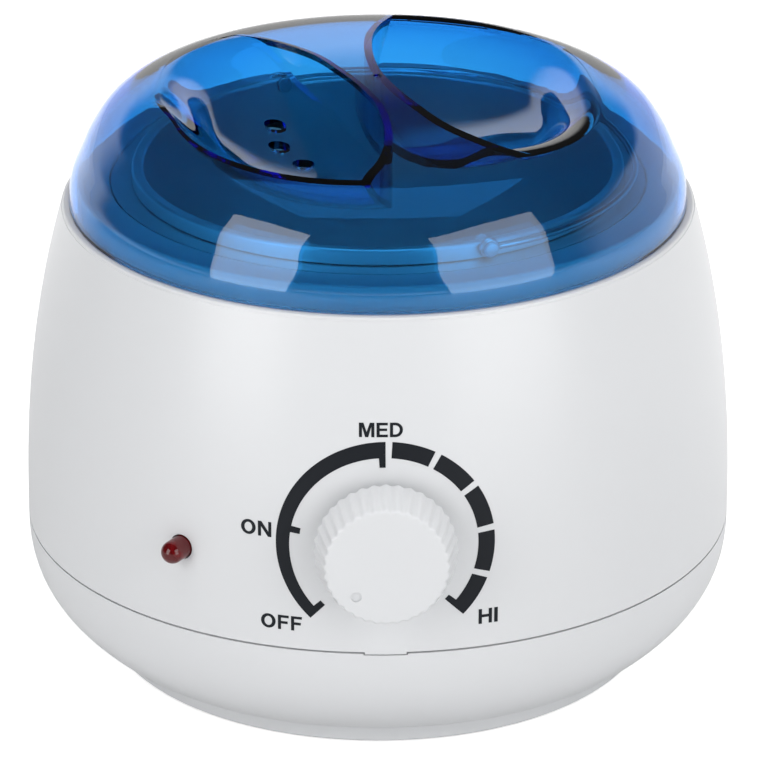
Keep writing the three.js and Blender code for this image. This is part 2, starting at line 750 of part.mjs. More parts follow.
function thermostatBracket() {
  const plate = block(bracketSpan, bracketThickness, bracketHeight, 0, -panelY + bracketThickness / 2,
    controlHeight - bracketHeight / 2);
  const hole = (x, radius) => facingFront(disc(radius + gap, panelY - wall, bodyRadius))
    .translate(x, 0, controlHeight);
  const ends = [-1, 1].map((side) => hole(side * bracketScrewX, screwShankRadius));
  return cut(plate, hole(0, bushRadius), ...ends);
}

// The pilot lamp stands in a tube inside the shell, with its dome through the wall.
const lampWall = housingRadius(lampHeight + lensRadius + lensFlange) - wall - gap;
const lensSeat = Math.sqrt((lampWall * facetShare) ** 2 - (lensRadius + lensFlange) ** 2) - gap;
const lensBack = lensSeat - lensFlangeThickness;
const lensTailEnd = lensBack - lensTail;
const lensTip = housingRadius(lampHeight) + lensProjection;
const lampSocketRadius = lensRadius + lensFlange + gap;
const onLampLine = (piece) => facingOut(piece, lampAzimuth).translate(0, 0, lampHeight);

function lampSocket() {
  const thick = wall / 2;
  return onLampLine(ring(lampSocketRadius, lampSocketRadius + thick, lensTailEnd + thick, lampWall + thick));
}

function lampLens() {
  const domeArc = steps(5).map((t) => [lensRadius * Math.cos(quarter * t),
    lensTip - lensRadius + lensRadius * Math.sin(quarter * t)]);
  const boreEnd = lensTip - lensRadius;
  return onLampLine(turned([
    [0, boreEnd], [lensBore, boreEnd - lensBore], [lensBore, lensTailEnd], [lensRadius, lensTailEnd],
    [lensRadius, lensBack], [lensRadius + lensFlange, lensBack], [lensRadius + lensFlange, lensSeat],
    [lensRadius, lensSeat], ...domeArc,
  ]));
}

function lampRetainer() {
  const high = lensBack - gap;
  return onLampLine(ring(lensRadius + gap, lampSocketRadius - gap, high - retainerThickness, high));
}

// A glass lamp with two leads, standing in the lens's bore.
function neonLamp() {
  const radius = lensBore - gap;
  const top = lensTip - lensRadius - lensBore - gap;
  const bottom = top - lampLength;
  const lead = (side) => disc(lampLeadRadius, bottom - lensTail, bottom + gap, 8)
    .translate(side * lampLeadGap / 4, 0, 0);
  const glass = turned([
    [0, bottom], [radius, bottom], [radius, top - radius],
    [radius * (1 - cornerShare), top - radius * cornerShare], [0, top],
  ]);
  return onLampLine(join(glass, lead(-1), lead(1)));
}

// The cord inlet's bush: a flange outside, a neck through the boss and a barb inside.
function cordGland() {
  const out = inletBossFace + gap;
  const inside = inletBossFace - inletBossLength - gap;
  const neck = inletHole - gap;
  const barb = inletHole + footBarb;
  const tip = inside - 2 * glandFlangeThickness;
  const face = out + glandFlangeThickness;
  const bush = turnedRing([
    [glandBore, tip], [neck, tip], [barb, inside - gap], [barb, inside], [neck, inside], [neck, out],
    [glandFlangeRadius, out], [glandFlangeRadius, face - gap],
    [glandFlangeRadius - gap, face], [glandBore, face],
  ], inletFacets);
  return facingFront(bush).rotateZ(2 * quarter).translate(0, 0, inletHeight);
}

// A three-way terminal block with its screw wells from above and wire ways from front to back.
function terminalBlock() {
  const [width, depth, height] = terminalSize;
  const low = plateTop + gap;
  const body = block(width, depth, height, 0, terminalY, low);
  const places = [-1, 0, 1].map((n) => n * terminalPitch);
  const wells = places.map((x) => disc(terminalHole, low + height / 2, low + height + overrun)
    .translate(x, terminalY, 0));
  const way = facingFront(disc(terminalHole / 2 + gap, -terminalY - depth, depth - terminalY));
  const ways = places.map((x) => way.clone().translate(x, 0, low + height / 3));
  return cut(body, ...wells, ...ways);
}

const terminalScrew = (n) => {
  const [, , height] = terminalSize;
  const low = plateTop + gap + height / 2;
  return disc(terminalHole - gap, low + gap, low + height / 3).translate(n * terminalPitch, terminalY, 0);
};

// The over-heat cut-out lies against the well's floor, held up by a plate on two stands.
function thermalCutoff() {
  const low = cutoffTop - cutoffHeight;
  const can = join(disc(cutoffRadius, low, cutoffTop), disc(cutoffNeck, low - cutoffTail, low + gap));
  const [thin, wide, long] = bladeSize;
  const bladeLow = low - cutoffTail - long;
  const blades = [-1, 1].map((side) => block(thin, wide, long + gap, side * cutoffNeck / 2, 0, bladeLow));
  return join(can, ...blades).translate(cutoffX, 0, 0);
}

const clipHigh = wellFloor - clipStandHeight - gap;

function cutoffClip() {
  const low = clipHigh - clipThickness;
  const plate = block(2 * cutoffRadius, cutoffStudSpacing + 2 * clipStandRadius, clipThickness, 0, 0, low);
  const hole = (y, radius) => disc(radius + gap, low - overrun, clipHigh + overrun).translate(0, y, 0);
  const half = cutoffStudSpacing / 2;
  return cut(plate, hole(0, cutoffNeck), hole(half, clipScrewRadius), hole(-half, clipScrewRadius))
    .translate(cutoffX, 0, 0);
}

function clipScrew(side) {
  return screw(clipScrewRadius, clipStandHeight, 2 * clipScrewRadius, clipScrewRadius)
    .translate(cutoffX, side * cutoffStudSpacing / 2, clipHigh - clipThickness - gap);
}

function baseScrew(index) {
  const seat = basePostTop(index) - postWeb - gap;
  const piece = screw(screwShankRadius, screwLength, screwHeadRadius, screwHeadHeight);
  return atAzimuth(piece.translate(postCircle, 0, seat), postAzimuths[index]);
}

function bracketScrew(side) {
  const seat = panelY - bracketThickness - gap;
  const shank = screwShankRadius - gap / 2;
  const piece = screw(shank, bracketScrewReach, 2 * screwShankRadius, screwHeadHeight / 2);
  return facingFront(piece.translate(0, 0, seat)).translate(side * bracketScrewX, 0, controlHeight);
}

// Everything in its place
const part = new THREE.Group();
part.name = 'wax_heater';
const appliance = new THREE.Group();
appliance.position.y = (knobFront - bodyRadius) / 2;
part.add(appliance);

const finishes = {
  shell: [colours.shell, 0.22, 0],
  lid: [colours.lid, 0.06, 0],
  aluminium: [colours.aluminium, 0.35, 1],
  steel: [colours.steel, 0.3, 1],
  rubber: [colours.rubber, 0.8, 0],
  bandSkin: [colours.bandSkin, 0.4, 1],
  wrap: [colours.wrap, 0.95, 0],
  bakelite: [colours.bakelite, 0.45, 0],
  lens: [colours.lens, 0.08, 0],
  glass: [colours.glass, 0.05, 0],
  terminal: [colours.terminal, 0.4, 0],
  brass: [colours.brass, 0.35, 1],
};

function place(name, finish, geometry) {
  const [color, roughness, metalness] = finishes[finish];
  const material = new THREE.MeshStandardMaterial({ color, roughness, metalness, flatShading: true });
  const mesh = new THREE.Mesh(geometry, material);
  mesh.name = name;
  appliance.add(mesh);
}

place('upper_housing', 'shell', upperHousing());
place('base_housing', 'shell', baseHousing());
footAzimuths.forEach((azimuth, i) => {
  place(`foot_${i + 1}`, 'rubber', atAzimuth(foot().translate(footCircle, 0, 0), azimuth));
});
postAzimuths.forEach((_, i) => place(`base_screw_${i + 1}`, 'steel', baseScrew(i)));
place('heater_well', 'aluminium', heaterWell());
place('well_bridge', 'steel', wellBridge());
place('well_nut', 'steel', atAzimuth(hexNut(studRadius, nutAcross, nutHeight), postAzimuths[0])
  .translate(0, 0, bridgeLow - gap - nutHeight));
place('heater_band', 'bandSkin', heaterBand());
place('band_screw', 'steel', bandScrewLine(
  screw(screwShankRadius, 2 * bandGrip + nutHeight, 2 * screwShankRadius, screwHeadHeight)
    .translate(0, 0, -bandGrip)));
place('band_nut', 'steel', bandScrewLine(hexNut(screwShankRadius, smallNutAcross, smallNutHeight)
  .translate(0, 0, bandGrip)));
place('insulation_wrap', 'wrap', insulationWrap());
place('thermal_cutoff', 'bakelite', thermalCutoff());
place('cutoff_clip', 'steel', cutoffClip());
place('clip_screw_1', 'steel', clipScrew(-1));
place('clip_screw_2', 'steel', clipScrew(1));
place('thermostat_body', 'bakelite', thermostatBody());
place('thermostat_shaft', 'steel', thermostatShaft());
place('thermostat_bracket', 'steel', thermostatBracket());
place('bracket_screw_1', 'steel', bracketScrew(-1));
place('bracket_screw_2', 'steel', bracketScrew(1));
place('knob', 'shell', knob());
place('lamp_lens', 'lens', lampLens());
place('lamp_retainer', 'rubber', lampRetainer());
place('neon_lamp', 'glass', neonLamp());
place('cord_gland', 'rubber', cordGland());
place('terminal_block', 'terminal', terminalBlock());
[-1, 0, 1].forEach((n) => place(`terminal_screw_${n + 2}`, 'brass', terminalScrew(n)));
place('wax_pot', 'aluminium', waxPot());
place('pivot_rivet_front', 'aluminium', pivotRivet(0));
place('pivot_rivet_back', 'aluminium', pivotRivet(2));
place('pot_handle', 'steel', potHandle());
place('lid', 'lid', lid());

export default part;
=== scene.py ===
import bpy
import bmesh
import json
import math
from mathutils import Matrix, Vector


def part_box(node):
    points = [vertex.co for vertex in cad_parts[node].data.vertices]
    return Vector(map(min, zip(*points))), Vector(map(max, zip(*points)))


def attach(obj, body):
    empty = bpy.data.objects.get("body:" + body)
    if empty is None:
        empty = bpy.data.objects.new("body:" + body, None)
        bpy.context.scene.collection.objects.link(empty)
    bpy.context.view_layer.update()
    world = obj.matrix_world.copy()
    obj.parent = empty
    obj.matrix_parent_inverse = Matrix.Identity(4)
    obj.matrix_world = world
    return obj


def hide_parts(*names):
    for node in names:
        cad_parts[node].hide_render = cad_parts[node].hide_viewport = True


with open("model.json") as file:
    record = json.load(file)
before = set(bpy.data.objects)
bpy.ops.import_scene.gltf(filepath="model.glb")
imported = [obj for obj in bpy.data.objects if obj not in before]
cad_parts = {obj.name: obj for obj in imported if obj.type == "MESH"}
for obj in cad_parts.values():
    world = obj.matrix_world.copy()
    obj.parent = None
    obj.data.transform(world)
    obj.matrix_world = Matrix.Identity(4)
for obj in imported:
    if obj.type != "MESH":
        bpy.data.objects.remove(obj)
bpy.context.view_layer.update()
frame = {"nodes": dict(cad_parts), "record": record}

# Wax heater: smooth shells, lid, knob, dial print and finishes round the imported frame.
# Sizes are in millimetres until a mesh is made.

MM = 0.001
merge_reach = 1e-6


def node_box(name):
    low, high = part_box(name)
    return Vector(low) / MM, Vector(high) / MM


# The frame's own sizes
shell_low, shell_high = node_box("upper_housing")
base_low, base_high = node_box("base_housing")
lid_low, lid_high = node_box("lid")
knob_low, knob_high = node_box("knob")
pot_low, pot_high = node_box("wax_pot")
well_low, well_high = node_box("heater_well")

body_radius = (shell_high.x - shell_low.x) / 2
axis_y = (base_low.y + base_high.y) / 2
ring_top = shell_high.z
crown = lid_high.z
lid_seat = lid_low.z
lid_radius = (lid_high.x - lid_low.x) / 2
lid_height = crown - lid_seat
knob_height = (knob_low.z + knob_high.z) / 2
knob_rim = (knob_high.x - knob_low.x) / 2
knob_depth = knob_high.y - knob_low.y
rim_radius = (pot_high.x - pot_low.x) / 2

# Shells; tools cut past a face by the overcut, and round pieces have the facets named here
gap = 0.3
wall = 2.5
seam_height = 35.2
seam_gap = 0.5
seam_top = seam_height + seam_gap / 2
seam_bottom = seam_height - seam_gap / 2
shoulder_height = lid_seat - gap
shoulder_inset = 10.5
shoulder_curve = 2.3
edge_round = 0.7
standoff = base_low.z
foot_radius = 70.1
foot_height = 7.8
floor_recess = 1.7
bowl_start = 76.3
bowl_curve = 2.55
lip_height = 3.0
tab_width = 10.2
tab_drop = 0.6
collar_radius = 74.7
collar_round = 0.6
ring_bore = 66.7
ledge_depth = 1.5
ledge_width = 3.7
skirt_length = 11.5
tab_relief = 0.05
foot_ring_round = 0.4
overcut = 1.0
smooth_angle = 35
shell_facets = 160
fine_facets = 96
bush_facets = 72
boss_facets = 64
small_facets = 48
screw_facets = 40
pin_facets = 32
bore_facets = 24
shell_steps = 28
shell_inner_steps = 6
base_steps = 26
base_inner_steps = 8
base_step_power = 1.5
corner_steps = 8

# Lid
lid_wall = 2.0
lid_outline = [(1, 0), (0.991, 0.2), (0.961, 0.4), (0.925, 0.6), (0.866, 0.8),
               (0.77, 0.925), (0.6, 0.967), (0.38, 0.99)]
scoop_rings = 40
scoop_ring_power = 1.6
scoop_facets = 144
lid_smooth_angle = 28
dome_steps = (0, 0.25, 0.5, 0.75)
scoop_depth = 15.5
scoop_radius = 48.0
scoop_place = (-4.0, -13.0)
scoop_gentle_azimuth = 2.18
scoop_steep = 4.2
scoop_gentle = 2.6
scoop_reach = 0.36
scoop_spread = 6
reach_spread = 11
runout_azimuths = (3.32, 2.85)
runout_shares = (0.72, 1.0)
runout_lift = 0.12
grip_steps = 90
grip_edge = [(-0.12, -0.93), (-0.06, -0.738), (-0.018, -0.63), (0.008, -0.5), (0.01, -0.33),
             (-0.012, -0.15), (-0.065, 0.02), (-0.13, 0.17), (-0.21, 0.325), (-0.328, 0.463),
             (-0.432, 0.542), (-0.56, 0.587), (-0.72, 0.6)]
vent_radius = 2.75
vent_places = [(-25.8, 8.9), (-24.8, -2.8), (-18.8, -13.2)]
lid_tint = (0.56, 0.88, 0.86)
lid_dye = (0.04, 0.645, 0.985, 1)
lid_dye_density = 600
gate_radius = 1.1
gate_depth = 0.5
gate_y = 8.0

# Well and pot
well_floor = 62.0
well_inset = 7.1
well_taper = 2.0
well_wall = 1.0
well_corner = 6.0
stud_radius = 2.0
stand_radius = 2.8
stand_height = 4.4
stand_x = 28.0
stand_y = 11.0
stand_bore = 1.4
pot_wall = 0.9
pot_fit = 0.6
pot_corner = 5.0
pot_rim_round = 0.8
rivet_hole_play = 0.2
rivet_hole_reach = 3
rivet_head_rounds = (0.5, 0.6)
rivet_shank = 0.75
rivet_head = 1.9
rivet_thickness = 0.9

# Posts, feet, slots and inlet
post_circle = 64.0
post_radius = 4.5
post_length = 20.0
post_web = 4.0
rib_thickness = 2.5
bridge_thickness = 1.5
screw_head = 3.1
screw_head_height = 2.4
screw_shank = 1.4
screw_length = 16.0
screw_head_round = 1.0
driver_slot = 0.8
driver_share = 0.6
driver_depth = 1.4
driver_overcut = 0.2
foot_pad = 7.0
foot_edge = 0.8
foot_stem = 2.2
foot_hole = 2.5
slot_count = 12
slot_inner = 24.0
slot_length = 18.0
slot_width = 3.0
slot_end_steps = 10
inlet_height = 20.0
inlet_boss = 9.5
inlet_length = 12.0
inlet_hole = 5.4
gland_bore = 3.0
gland_flange = 7.5
gland_thickness = 2.0
gland_rounds = (0.6, 0.5)
shaft_hole = 4.4

# Dial print
print_proud = 0.05
print_sunk = 0.15
print_smooth_angle = 60
dial_radius = 26.4
dial_thin = 2.8
dial_thick = 4.0
tick_length = 2.3
tick_width = 1.6
off_angle = 226.5
on_angle = 171.0
med_angle = 90.0
hi_angle = -44.7
dial_step = 1.5
dial_columns = 4
dash_count = 5
dash_gap = 3.6
letter_width_shares = {"M": 1.15, "E": 0.84, "D": 0.96, "O": 1.05, "N": 0.96, "F": 0.78, "H": 0.96,
                       "I": 0.26}
letter_space_share = 0.16
round_stroke_shares = (0.24, 0.18)
letter_bow_shares = (0.42, 0.40)
letter_steps = 36
letter_outline_shares = {
    "M": [(0, 0), (0, 1), (0.29, 1), (0.5, 0.36), (0.71, 1), (1, 1), (1, 0), (0.8, 0), (0.8, 0.72),
          (0.6, 0), (0.4, 0), (0.2, 0.72), (0.2, 0)],
    "N": [(0, 0), (0, 1), (0.26, 1), (0.77, 0.34), (0.77, 1), (1, 1), (1, 0), (0.74, 0), (0.23, 0.66),
          (0.23, 0)],
    "E": [(0, 0), (0, 1), (1, 1), (1, 0.82), (0.28, 0.82), (0.28, 0.6), (0.94, 0.6), (0.94, 0.43),
          (0.28, 0.43), (0.28, 0.18), (1, 0.18), (1, 0)],
    "F": [(0, 0), (0, 1), (1, 1), (1, 0.82), (0.29, 0.82), (0.29, 0.58), (0.9, 0.58), (0.9, 0.4),
          (0.29, 0.4), (0.29, 0)],
    "H": [(0, 0), (0, 1), (0.25, 1), (0.25, 0.62), (0.75, 0.62), (0.75, 1), (1, 1), (1, 0), (0.75, 0),
          (0.75, 0.43), (0.25, 0.43), (0.25, 0)],
    "I": [(0, 0), (0, 1), (1, 1), (1, 0)],
}
labels = {"MED": (-1.1, 92.5, 10.5, 3.5), "ON": (-31.1, 66.0, 7.3, 3.8), "OFF": (-25.2, 42.1, 9.9, 3.8),
          "HI": (24.9, 43.4, 4.7, 3.9)}

# Knob
knob_face = 15.3
knob_ribs = 36
rib_depth = 0.45
knob_edge = 0.9
knob_side = 0.55
knob_shell = 2.0
knob_rim_round = 0.4
knob_bevel = 2.6
facets_per_rib = 12
hub_radius = 5.5
bore_radius = 3.2
shaft_radius = 3
shaft_flat_share = 0.55
shaft_play = 0.2
key_width = 8
knob_smooth_angle = 40
pointer_radius = 1.3
pointer_depth = 0.5
pointer_distance = 10.6

# Lamp, pot and bail
lamp_height = 57.0
lamp_azimuth = math.radians(-90 - 33.5)
lens_radius = 2.85
lens_projection = 6.5
lens_flange = 1.3
lens_flange_thickness = 1.2
lens_bore = 1.9
lens_tail = 5.0
lens_dome_steps = 14
pivot_height = 127.7
bail_azimuth = math.radians(-66)
bail_wire = 1.6
bail_bulge = 1.7
eye_radius = 2.6
wire_sides = 16
wire_steps = 140
wire_smooth_angle = 50

# Camera
camera_distance = 1300.0
camera_elevation = math.radians(23.61)
camera_azimuth = math.radians(-1.2)
camera_aim = 68.1
camera_focal = 5082.0
photo_width = 760
sensor_width = 36.0
clip_near = 0.05
clip_far = 20
axis_pixel = 378.0

# Room: each panel's azimuth, elevation, distance, width, height and power, in degrees, metres and watts
left_panel = (-47, 17, 1.2, 0.64, 1.02, 7.6)
right_panel = (43, 17, 1.2, 0.88, 1.02, 8.2)
top_panel = (0, 90, 1.3, 1.2, 1.2, 12)
panel_aim = 80.0
sweep_side = (0.42, 0.91, 0)
sweep_colour = (0.95, 0.95, 0.95, 1)
front_reach = (0.5, 0.15)
front_sweep = (-0.02, 0.06)
back_sweep = (0.27, 0.37)
room_dark = (0.05, 0.05, 0.052, 1)
room_pale = (0.08, 0.081, 0.084, 1)
floor_radius = 2500.0
floor_thickness = 2.0
floor_colour = (0.80, 0.80, 0.80, 1)
floor_roughness = 0.7
floor_reach = (0.3, 1.2)
floor_lift = (0.72, 0.95)
# Floor glow seen in reflections, faint in front of the part and full behind it: a painted reflection
painted_reflection_reach = (0.0, 0.25)
painted_reflection_levels = (0.05, 1.0)


def place(obj, body, slot, *nodes):
    """Gives a piece its body and the finish of its slot, and hides the nodes that it stands for; ink has no
    slot.
    """
    obj.data.materials.clear()
    obj.data.materials.append(finishes[slot])
    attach(obj, body)
    if nodes:
        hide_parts(*nodes)
    return obj


def mesh_object(name, vertices, faces, shift=(0, 0, 0)):
    """A mesh object from points in millimetres."""
    mesh = bpy.data.meshes.new(name)
    moved = [((x + shift[0]) * MM, (y + shift[1]) * MM, (z + shift[2]) * MM) for x, y, z in vertices]
    mesh.from_pydata(moved, [], faces)
    mesh.validate()
    obj = bpy.data.objects.new(name, mesh)
    bpy.context.scene.collection.objects.link(obj)
    return obj


def tidy_mesh(obj, angle=smooth_angle):
    """Merges doubles, turns the faces outward and shades all but the sharp edges smooth."""
    build = bmesh.new()
    build.from_mesh(obj.data)
    bmesh.ops.remove_doubles(build, verts=build.verts, dist=merge_reach)
    bmesh.ops.dissolve_degenerate(build, edges=build.edges, dist=merge_reach / 10)
    bmesh.ops.recalc_face_normals(build, faces=build.faces)
    build.to_mesh(obj.data)
    build.free()
    obj.data.shade_smooth()
    obj.data.set_sharp_from_angle(angle=math.radians(angle))
    return obj


def turned(name, profile, facets=shell_facets, shift=None, rule=None):
    """A closed profile of (radius, height) turned about the upright axis; a rule may move its points."""
    shift = (0, axis_y, 0) if shift is None else shift
    vertices = []
    for i in range(facets):
        angle = 2 * math.pi * i / facets
        for radius, height in profile:
            r, z = rule(radius, angle, height) if rule else (radius, height)
            vertices.append((r * math.cos(angle), r * math.sin(angle), z))
    count = len(profile)
    faces = []
    on_axis = profile[0][0] == 0
    for i in range(facets):
        j = (i + 1) % facets
        for k in range(count - (1 if on_axis else 0)):
            m = (k + 1) % count
            faces.append((i * count + k, i * count + m, j * count + m, j * count + k))
    return tidy_mesh(mesh_object(name, vertices, faces, shift))


def cut(obj, *tools, operation="DIFFERENCE"):
    """Cuts the tools out of a piece, joins them to it or keeps what they share, and deletes them."""
    for tool in tools:
        change = obj.modifiers.new("cut", "BOOLEAN")
        change.operation = operation
        change.solver = "EXACT"
        change.object = tool
    bpy.context.view_layer.update()
    ready = obj.evaluated_get(bpy.context.evaluated_depsgraph_get())
    mesh = bpy.data.meshes.new_from_object(ready)
    obj.modifiers.clear()
    obj.data = mesh
    for tool in tools:
        bpy.data.objects.remove(tool, do_unlink=True)
    return obj


def housing_radius(z):
    share = max((z - seam_height) / (shoulder_height - seam_height), 0)
    return body_radius - shoulder_inset * share ** shoulder_curve


def base_radius(z):
    share = 1 - (z - foot_height) / (seam_height - foot_height)
    return bowl_start + (body_radius - bowl_start) * (1 - max(share, 0) ** bowl_curve)


def shares(count):
    return [i / count for i in range(count + 1)]


def between(start, end, count):
    return [start + (end - start) * t for t in shares(count)]


def fillet(radius, r, z, start, end, count=5):
    """Points of an arc about a centre, from one angle to another, in degrees."""
    points = []
    for t in shares(count):
        angle = math.radians(start + (end - start) * t)
        points.append((r + radius * math.cos(angle), z + radius * math.sin(angle)))
    return points


# Shader node groups that several finishes use, and the finishes

def add_node(tree, kind, sources=None, **settings):
    """A shader node with its settings and, for each input, a value or the output that feeds it."""
    node = tree.nodes.new(kind)
    for name, value in settings.items():
        setattr(node, name, value)
    for name, source in (sources or {}).items():
        if isinstance(source, bpy.types.NodeSocket):
            tree.links.new(source, node.inputs[name])
        else:
            node.inputs[name].default_value = source
    return node


def maths(tree, operation, *sources):
    """The output of a Math node that takes the sources in order."""
    return add_node(tree, "ShaderNodeMath", dict(enumerate(sources)), operation=operation).outputs[0]


def vector_maths(tree, operation, *sources, output="Value"):
    """The same of a Vector Math node."""
    node = add_node(tree, "ShaderNodeVectorMath", dict(enumerate(sources)), operation=operation)
    return node.outputs[output]


def effect_group(name, values):
    """A new group with named inputs, and a height and a roughness as its outputs."""
    tree = bpy.data.node_groups.new(name, "ShaderNodeTree")
    for socket, value in values.items():
        made = tree.interface.new_socket(name=socket, in_out="INPUT", socket_type="NodeSocketFloat")
        made.default_value = value
    for socket in ("Height", "Roughness"):
        tree.interface.new_socket(name=socket, in_out="OUTPUT", socket_type="NodeSocketFloat")
    return tree, tree.nodes.new("NodeGroupInput").outputs


def finish_group(tree, inputs, height, source):
    """Puts out the height, and a roughness that spreads about its own level with the source."""
    around = maths(tree, "SUBTRACT", source, 0.5)
    spread = maths(tree, "MULTIPLY_ADD", around, inputs["Spread"], inputs["Roughness"])
    out = tree.nodes.new("NodeGroupOutput").inputs
    tree.links.new(height, out["Height"])
    tree.links.new(spread, out["Roughness"])
    return tree


def moulded_skin_group():
    """Slow waves and fine grain of a moulded skin."""
    tree, inputs = effect_group("moulded_skin", {"Wave Scale": 14.0, "Grain Scale": 900.0,
                                                 "Grain Share": 0.2, "Roughness": 0.2, "Spread": 0.08})
    spot = add_node(tree, "ShaderNodeTexCoord").outputs["Object"]
    noises = [add_node(tree, "ShaderNodeTexNoise", {"Vector": spot, "Scale": inputs[scale]})
              for scale in ("Wave Scale", "Grain Scale")]
    wave, grain = (noise.outputs["Fac"] for noise in noises)
    mix = add_node(tree, "ShaderNodeMix", {"Factor": inputs["Grain Share"], "A": wave, "B": grain})
    return finish_group(tree, inputs, mix.outputs["Result"], wave)


def turned_metal_group():
    """Fine circular lines of spun or turned metal, by radius and height."""
    tree, inputs = effect_group("turned_metal", {"Line Scale": 700.0, "Roughness": 0.3, "Spread": 0.25})
    spot = add_node(tree, "ShaderNodeTexCoord").outputs["Object"]
    centred = vector_maths(tree, "SUBTRACT", spot, (0, axis_y * MM, 0), output="Vector")
    apart = add_node(tree, "ShaderNodeSeparateXYZ", {0: centred}).outputs
    flat = add_node(tree, "ShaderNodeCombineXYZ", {"X": apart["X"], "Y": apart["Y"]}).outputs[0]
    radius = vector_maths(tree, "LENGTH", flat)
    along = maths(tree, "ADD", radius, apart["Z"])
    lines = add_node(tree, "ShaderNodeTexNoise", {"W": along, "Scale": inputs["Line Scale"], "Detail": 4},
                     noise_dimensions="1D").outputs["Fac"]
    return finish_group(tree, inputs, lines, lines)


moulded_skin = moulded_skin_group()
turned_metal = turned_metal_group()


def finish_material(name, colour, group, bump=0.05, bump_reach=0.1, values=None, **sockets):
    """A Principled finish whose roughness and bump come from one of the groups."""
    material = bpy.data.materials.new(name)
    material.use_nodes = True
    tree = material.node_tree
    shader = tree.nodes["Principled BSDF"]
    shader.inputs["Base Color"].default_value = (*colour, 1)
    for socket, value in sockets.items():
        shader.inputs[socket.replace("_", " ")].default_value = value
    effect = add_node(tree, "ShaderNodeGroup", node_tree=group)
    for socket, value in (values or {}).items():
        effect.inputs[socket].default_value = value
    relief = add_node(tree, "ShaderNodeBump", {"Strength": bump, "Distance": bump_reach * MM,
                                               "Height": effect.outputs["Height"]})
    tree.links.new(relief.outputs["Normal"], shader.inputs["Normal"])
    tree.links.new(effect.outputs["Roughness"], shader.inputs["Roughness"])
    return material


def lid_material():
    """Clear blue moulding: a tinted skin over a dye that deepens the colour along its edges."""
    material = finish_material("clear_blue_moulding", lid_tint, moulded_skin, bump=0.03, bump_reach=0.2,
                               values={"Roughness": 0.012, "Spread": 0.01, "Grain Share": 0.02},
                               IOR=1.55, Transmission_Weight=1.0)
    tree = material.node_tree
    dye = add_node(tree, "ShaderNodeVolumeAbsorption", {"Color": lid_dye, "Density": lid_dye_density})
    tree.links.new(dye.outputs["Volume"], tree.nodes["Material Output"].inputs["Volume"])
    return material


def metal_material(name, colour, roughness, spread=0.2, lines=900.0):
    return finish_material(name, colour, turned_metal, bump=0.15, bump_reach=0.05,
                           values={"Roughness": roughness, "Spread": spread, "Line Scale": lines},
                           Metallic=1.0)


def matte_material(name, colour, roughness, grain=0.5):
    return finish_material(name, colour, moulded_skin, bump=0.3, bump_reach=0.15, values={
        "Roughness": roughness, "Spread": 0.15, "Grain Share": grain, "Grain Scale": 600.0})


finishes = {
    "shell": finish_material("white_moulding", (0.685, 0.695, 0.71), moulded_skin, bump_reach=0.3, IOR=1.45,
                             values={"Roughness": 0.3, "Spread": 0.06, "Grain Share": 0.05}),
    "lid": lid_material(),
    "lens": finish_material("clear_red_moulding", (0.17, 0.002, 0.004), moulded_skin, bump=0.02,
                            values={"Roughness": 0.05, "Spread": 0.02}, IOR=1.5, Transmission_Weight=0.5),
    None: finish_material("dial_ink", (0.008, 0.010, 0.014), moulded_skin, bump=0.1, bump_reach=0.02,
                          values={"Roughness": 0.5, "Spread": 0.1, "Grain Share": 0.6},
                          Specular_IOR_Level=0.2),
    "aluminium": metal_material("spun_aluminium", (0.82, 0.83, 0.84), 0.5, spread=0.15),
    "steel": metal_material("zinc_plated_steel", (0.58, 0.58, 0.60), 0.3, lines=500.0),
    "band_skin": metal_material("band_sheath", (0.45, 0.45, 0.46), 0.45),
    "brass": metal_material("brass", (0.72, 0.52, 0.24), 0.3),
    "rubber": matte_material("black_rubber", (0.03, 0.03, 0.032), 0.7),
    "bakelite": matte_material("phenolic", (0.035, 0.028, 0.024), 0.45),
    "wrap": matte_material("glass_fibre", (0.68, 0.64, 0.53), 0.9, grain=0.8),
    "terminal": matte_material("terminal_moulding", (0.75, 0.75, 0.70), 0.5),
    "lamp_glass": finish_material("lamp_glass", (0.95, 0.85, 0.78), moulded_skin, bump=0.02,
                                  values={"Roughness": 0.03, "Spread": 0.01}, IOR=1.5,
                                  Transmission_Weight=1.0),
}


def dress_nodes():
    """Every carried-over node takes the finish of its slot."""
    for subpart in frame["record"]["subparts"]:
        obj = frame["nodes"][subpart["node"]]
        obj.data.materials.clear()
        obj.data.materials.append(finishes[subpart["material_slot"]])


def peg(radius, low, high, facets=small_facets, at=(0, 0)):
    """A plain cylinder about an upright line, in the shells' own frame."""
    x, y = at
    return turned("peg", [(0, low), (radius, low), (radius, high), (0, high)], facets, (x, y + axis_y, 0))


def pipe(inner, outer, low, high, facets=small_facets):
    return turned("pipe", [(inner, low), (outer, low), (outer, high), (inner, high)], facets)


def block(width, depth, height, x=0, y=0, low=0):
    """A box centred in X and Y that stands on the height low, in the shells' own frame."""
    corners = [(x + i * width / 2, y + k * depth / 2) for i, k in ((-1, -1), (1, -1), (1, 1), (-1, 1))]
    return prism("block", corners, low, low + height)


def about_axis(obj, angle):
    """Turns a piece about the shells' upright axis."""
    centre = Matrix.Translation((0, axis_y * MM, 0))
    obj.data.transform(centre @ Matrix.Rotation(angle, 4, "Z") @ centre.inverted())
    return obj


def facing(obj, azimuth, height):
    """Lays a piece built up the shells' axis along a line that points outward."""
    centre = Matrix.Translation((0, axis_y * MM, 0))
    lie = Matrix.Rotation(azimuth, 4, "Z") @ Matrix.Rotation(math.pi / 2, 4, "Y")
    obj.data.transform(Matrix.Translation((0, 0, height * MM)) @ centre @ lie @ centre.inverted())
    return obj


front = -math.pi / 2
back = math.pi / 2
post_angles = [math.pi / 4 + math.pi / 2 * i for i in range(4)]
plate_low = standoff + floor_recess
plate_top = plate_low + wall
bridge_low = seam_top
post_low = bridge_low + bridge_thickness + gap
post_top = post_low + post_length


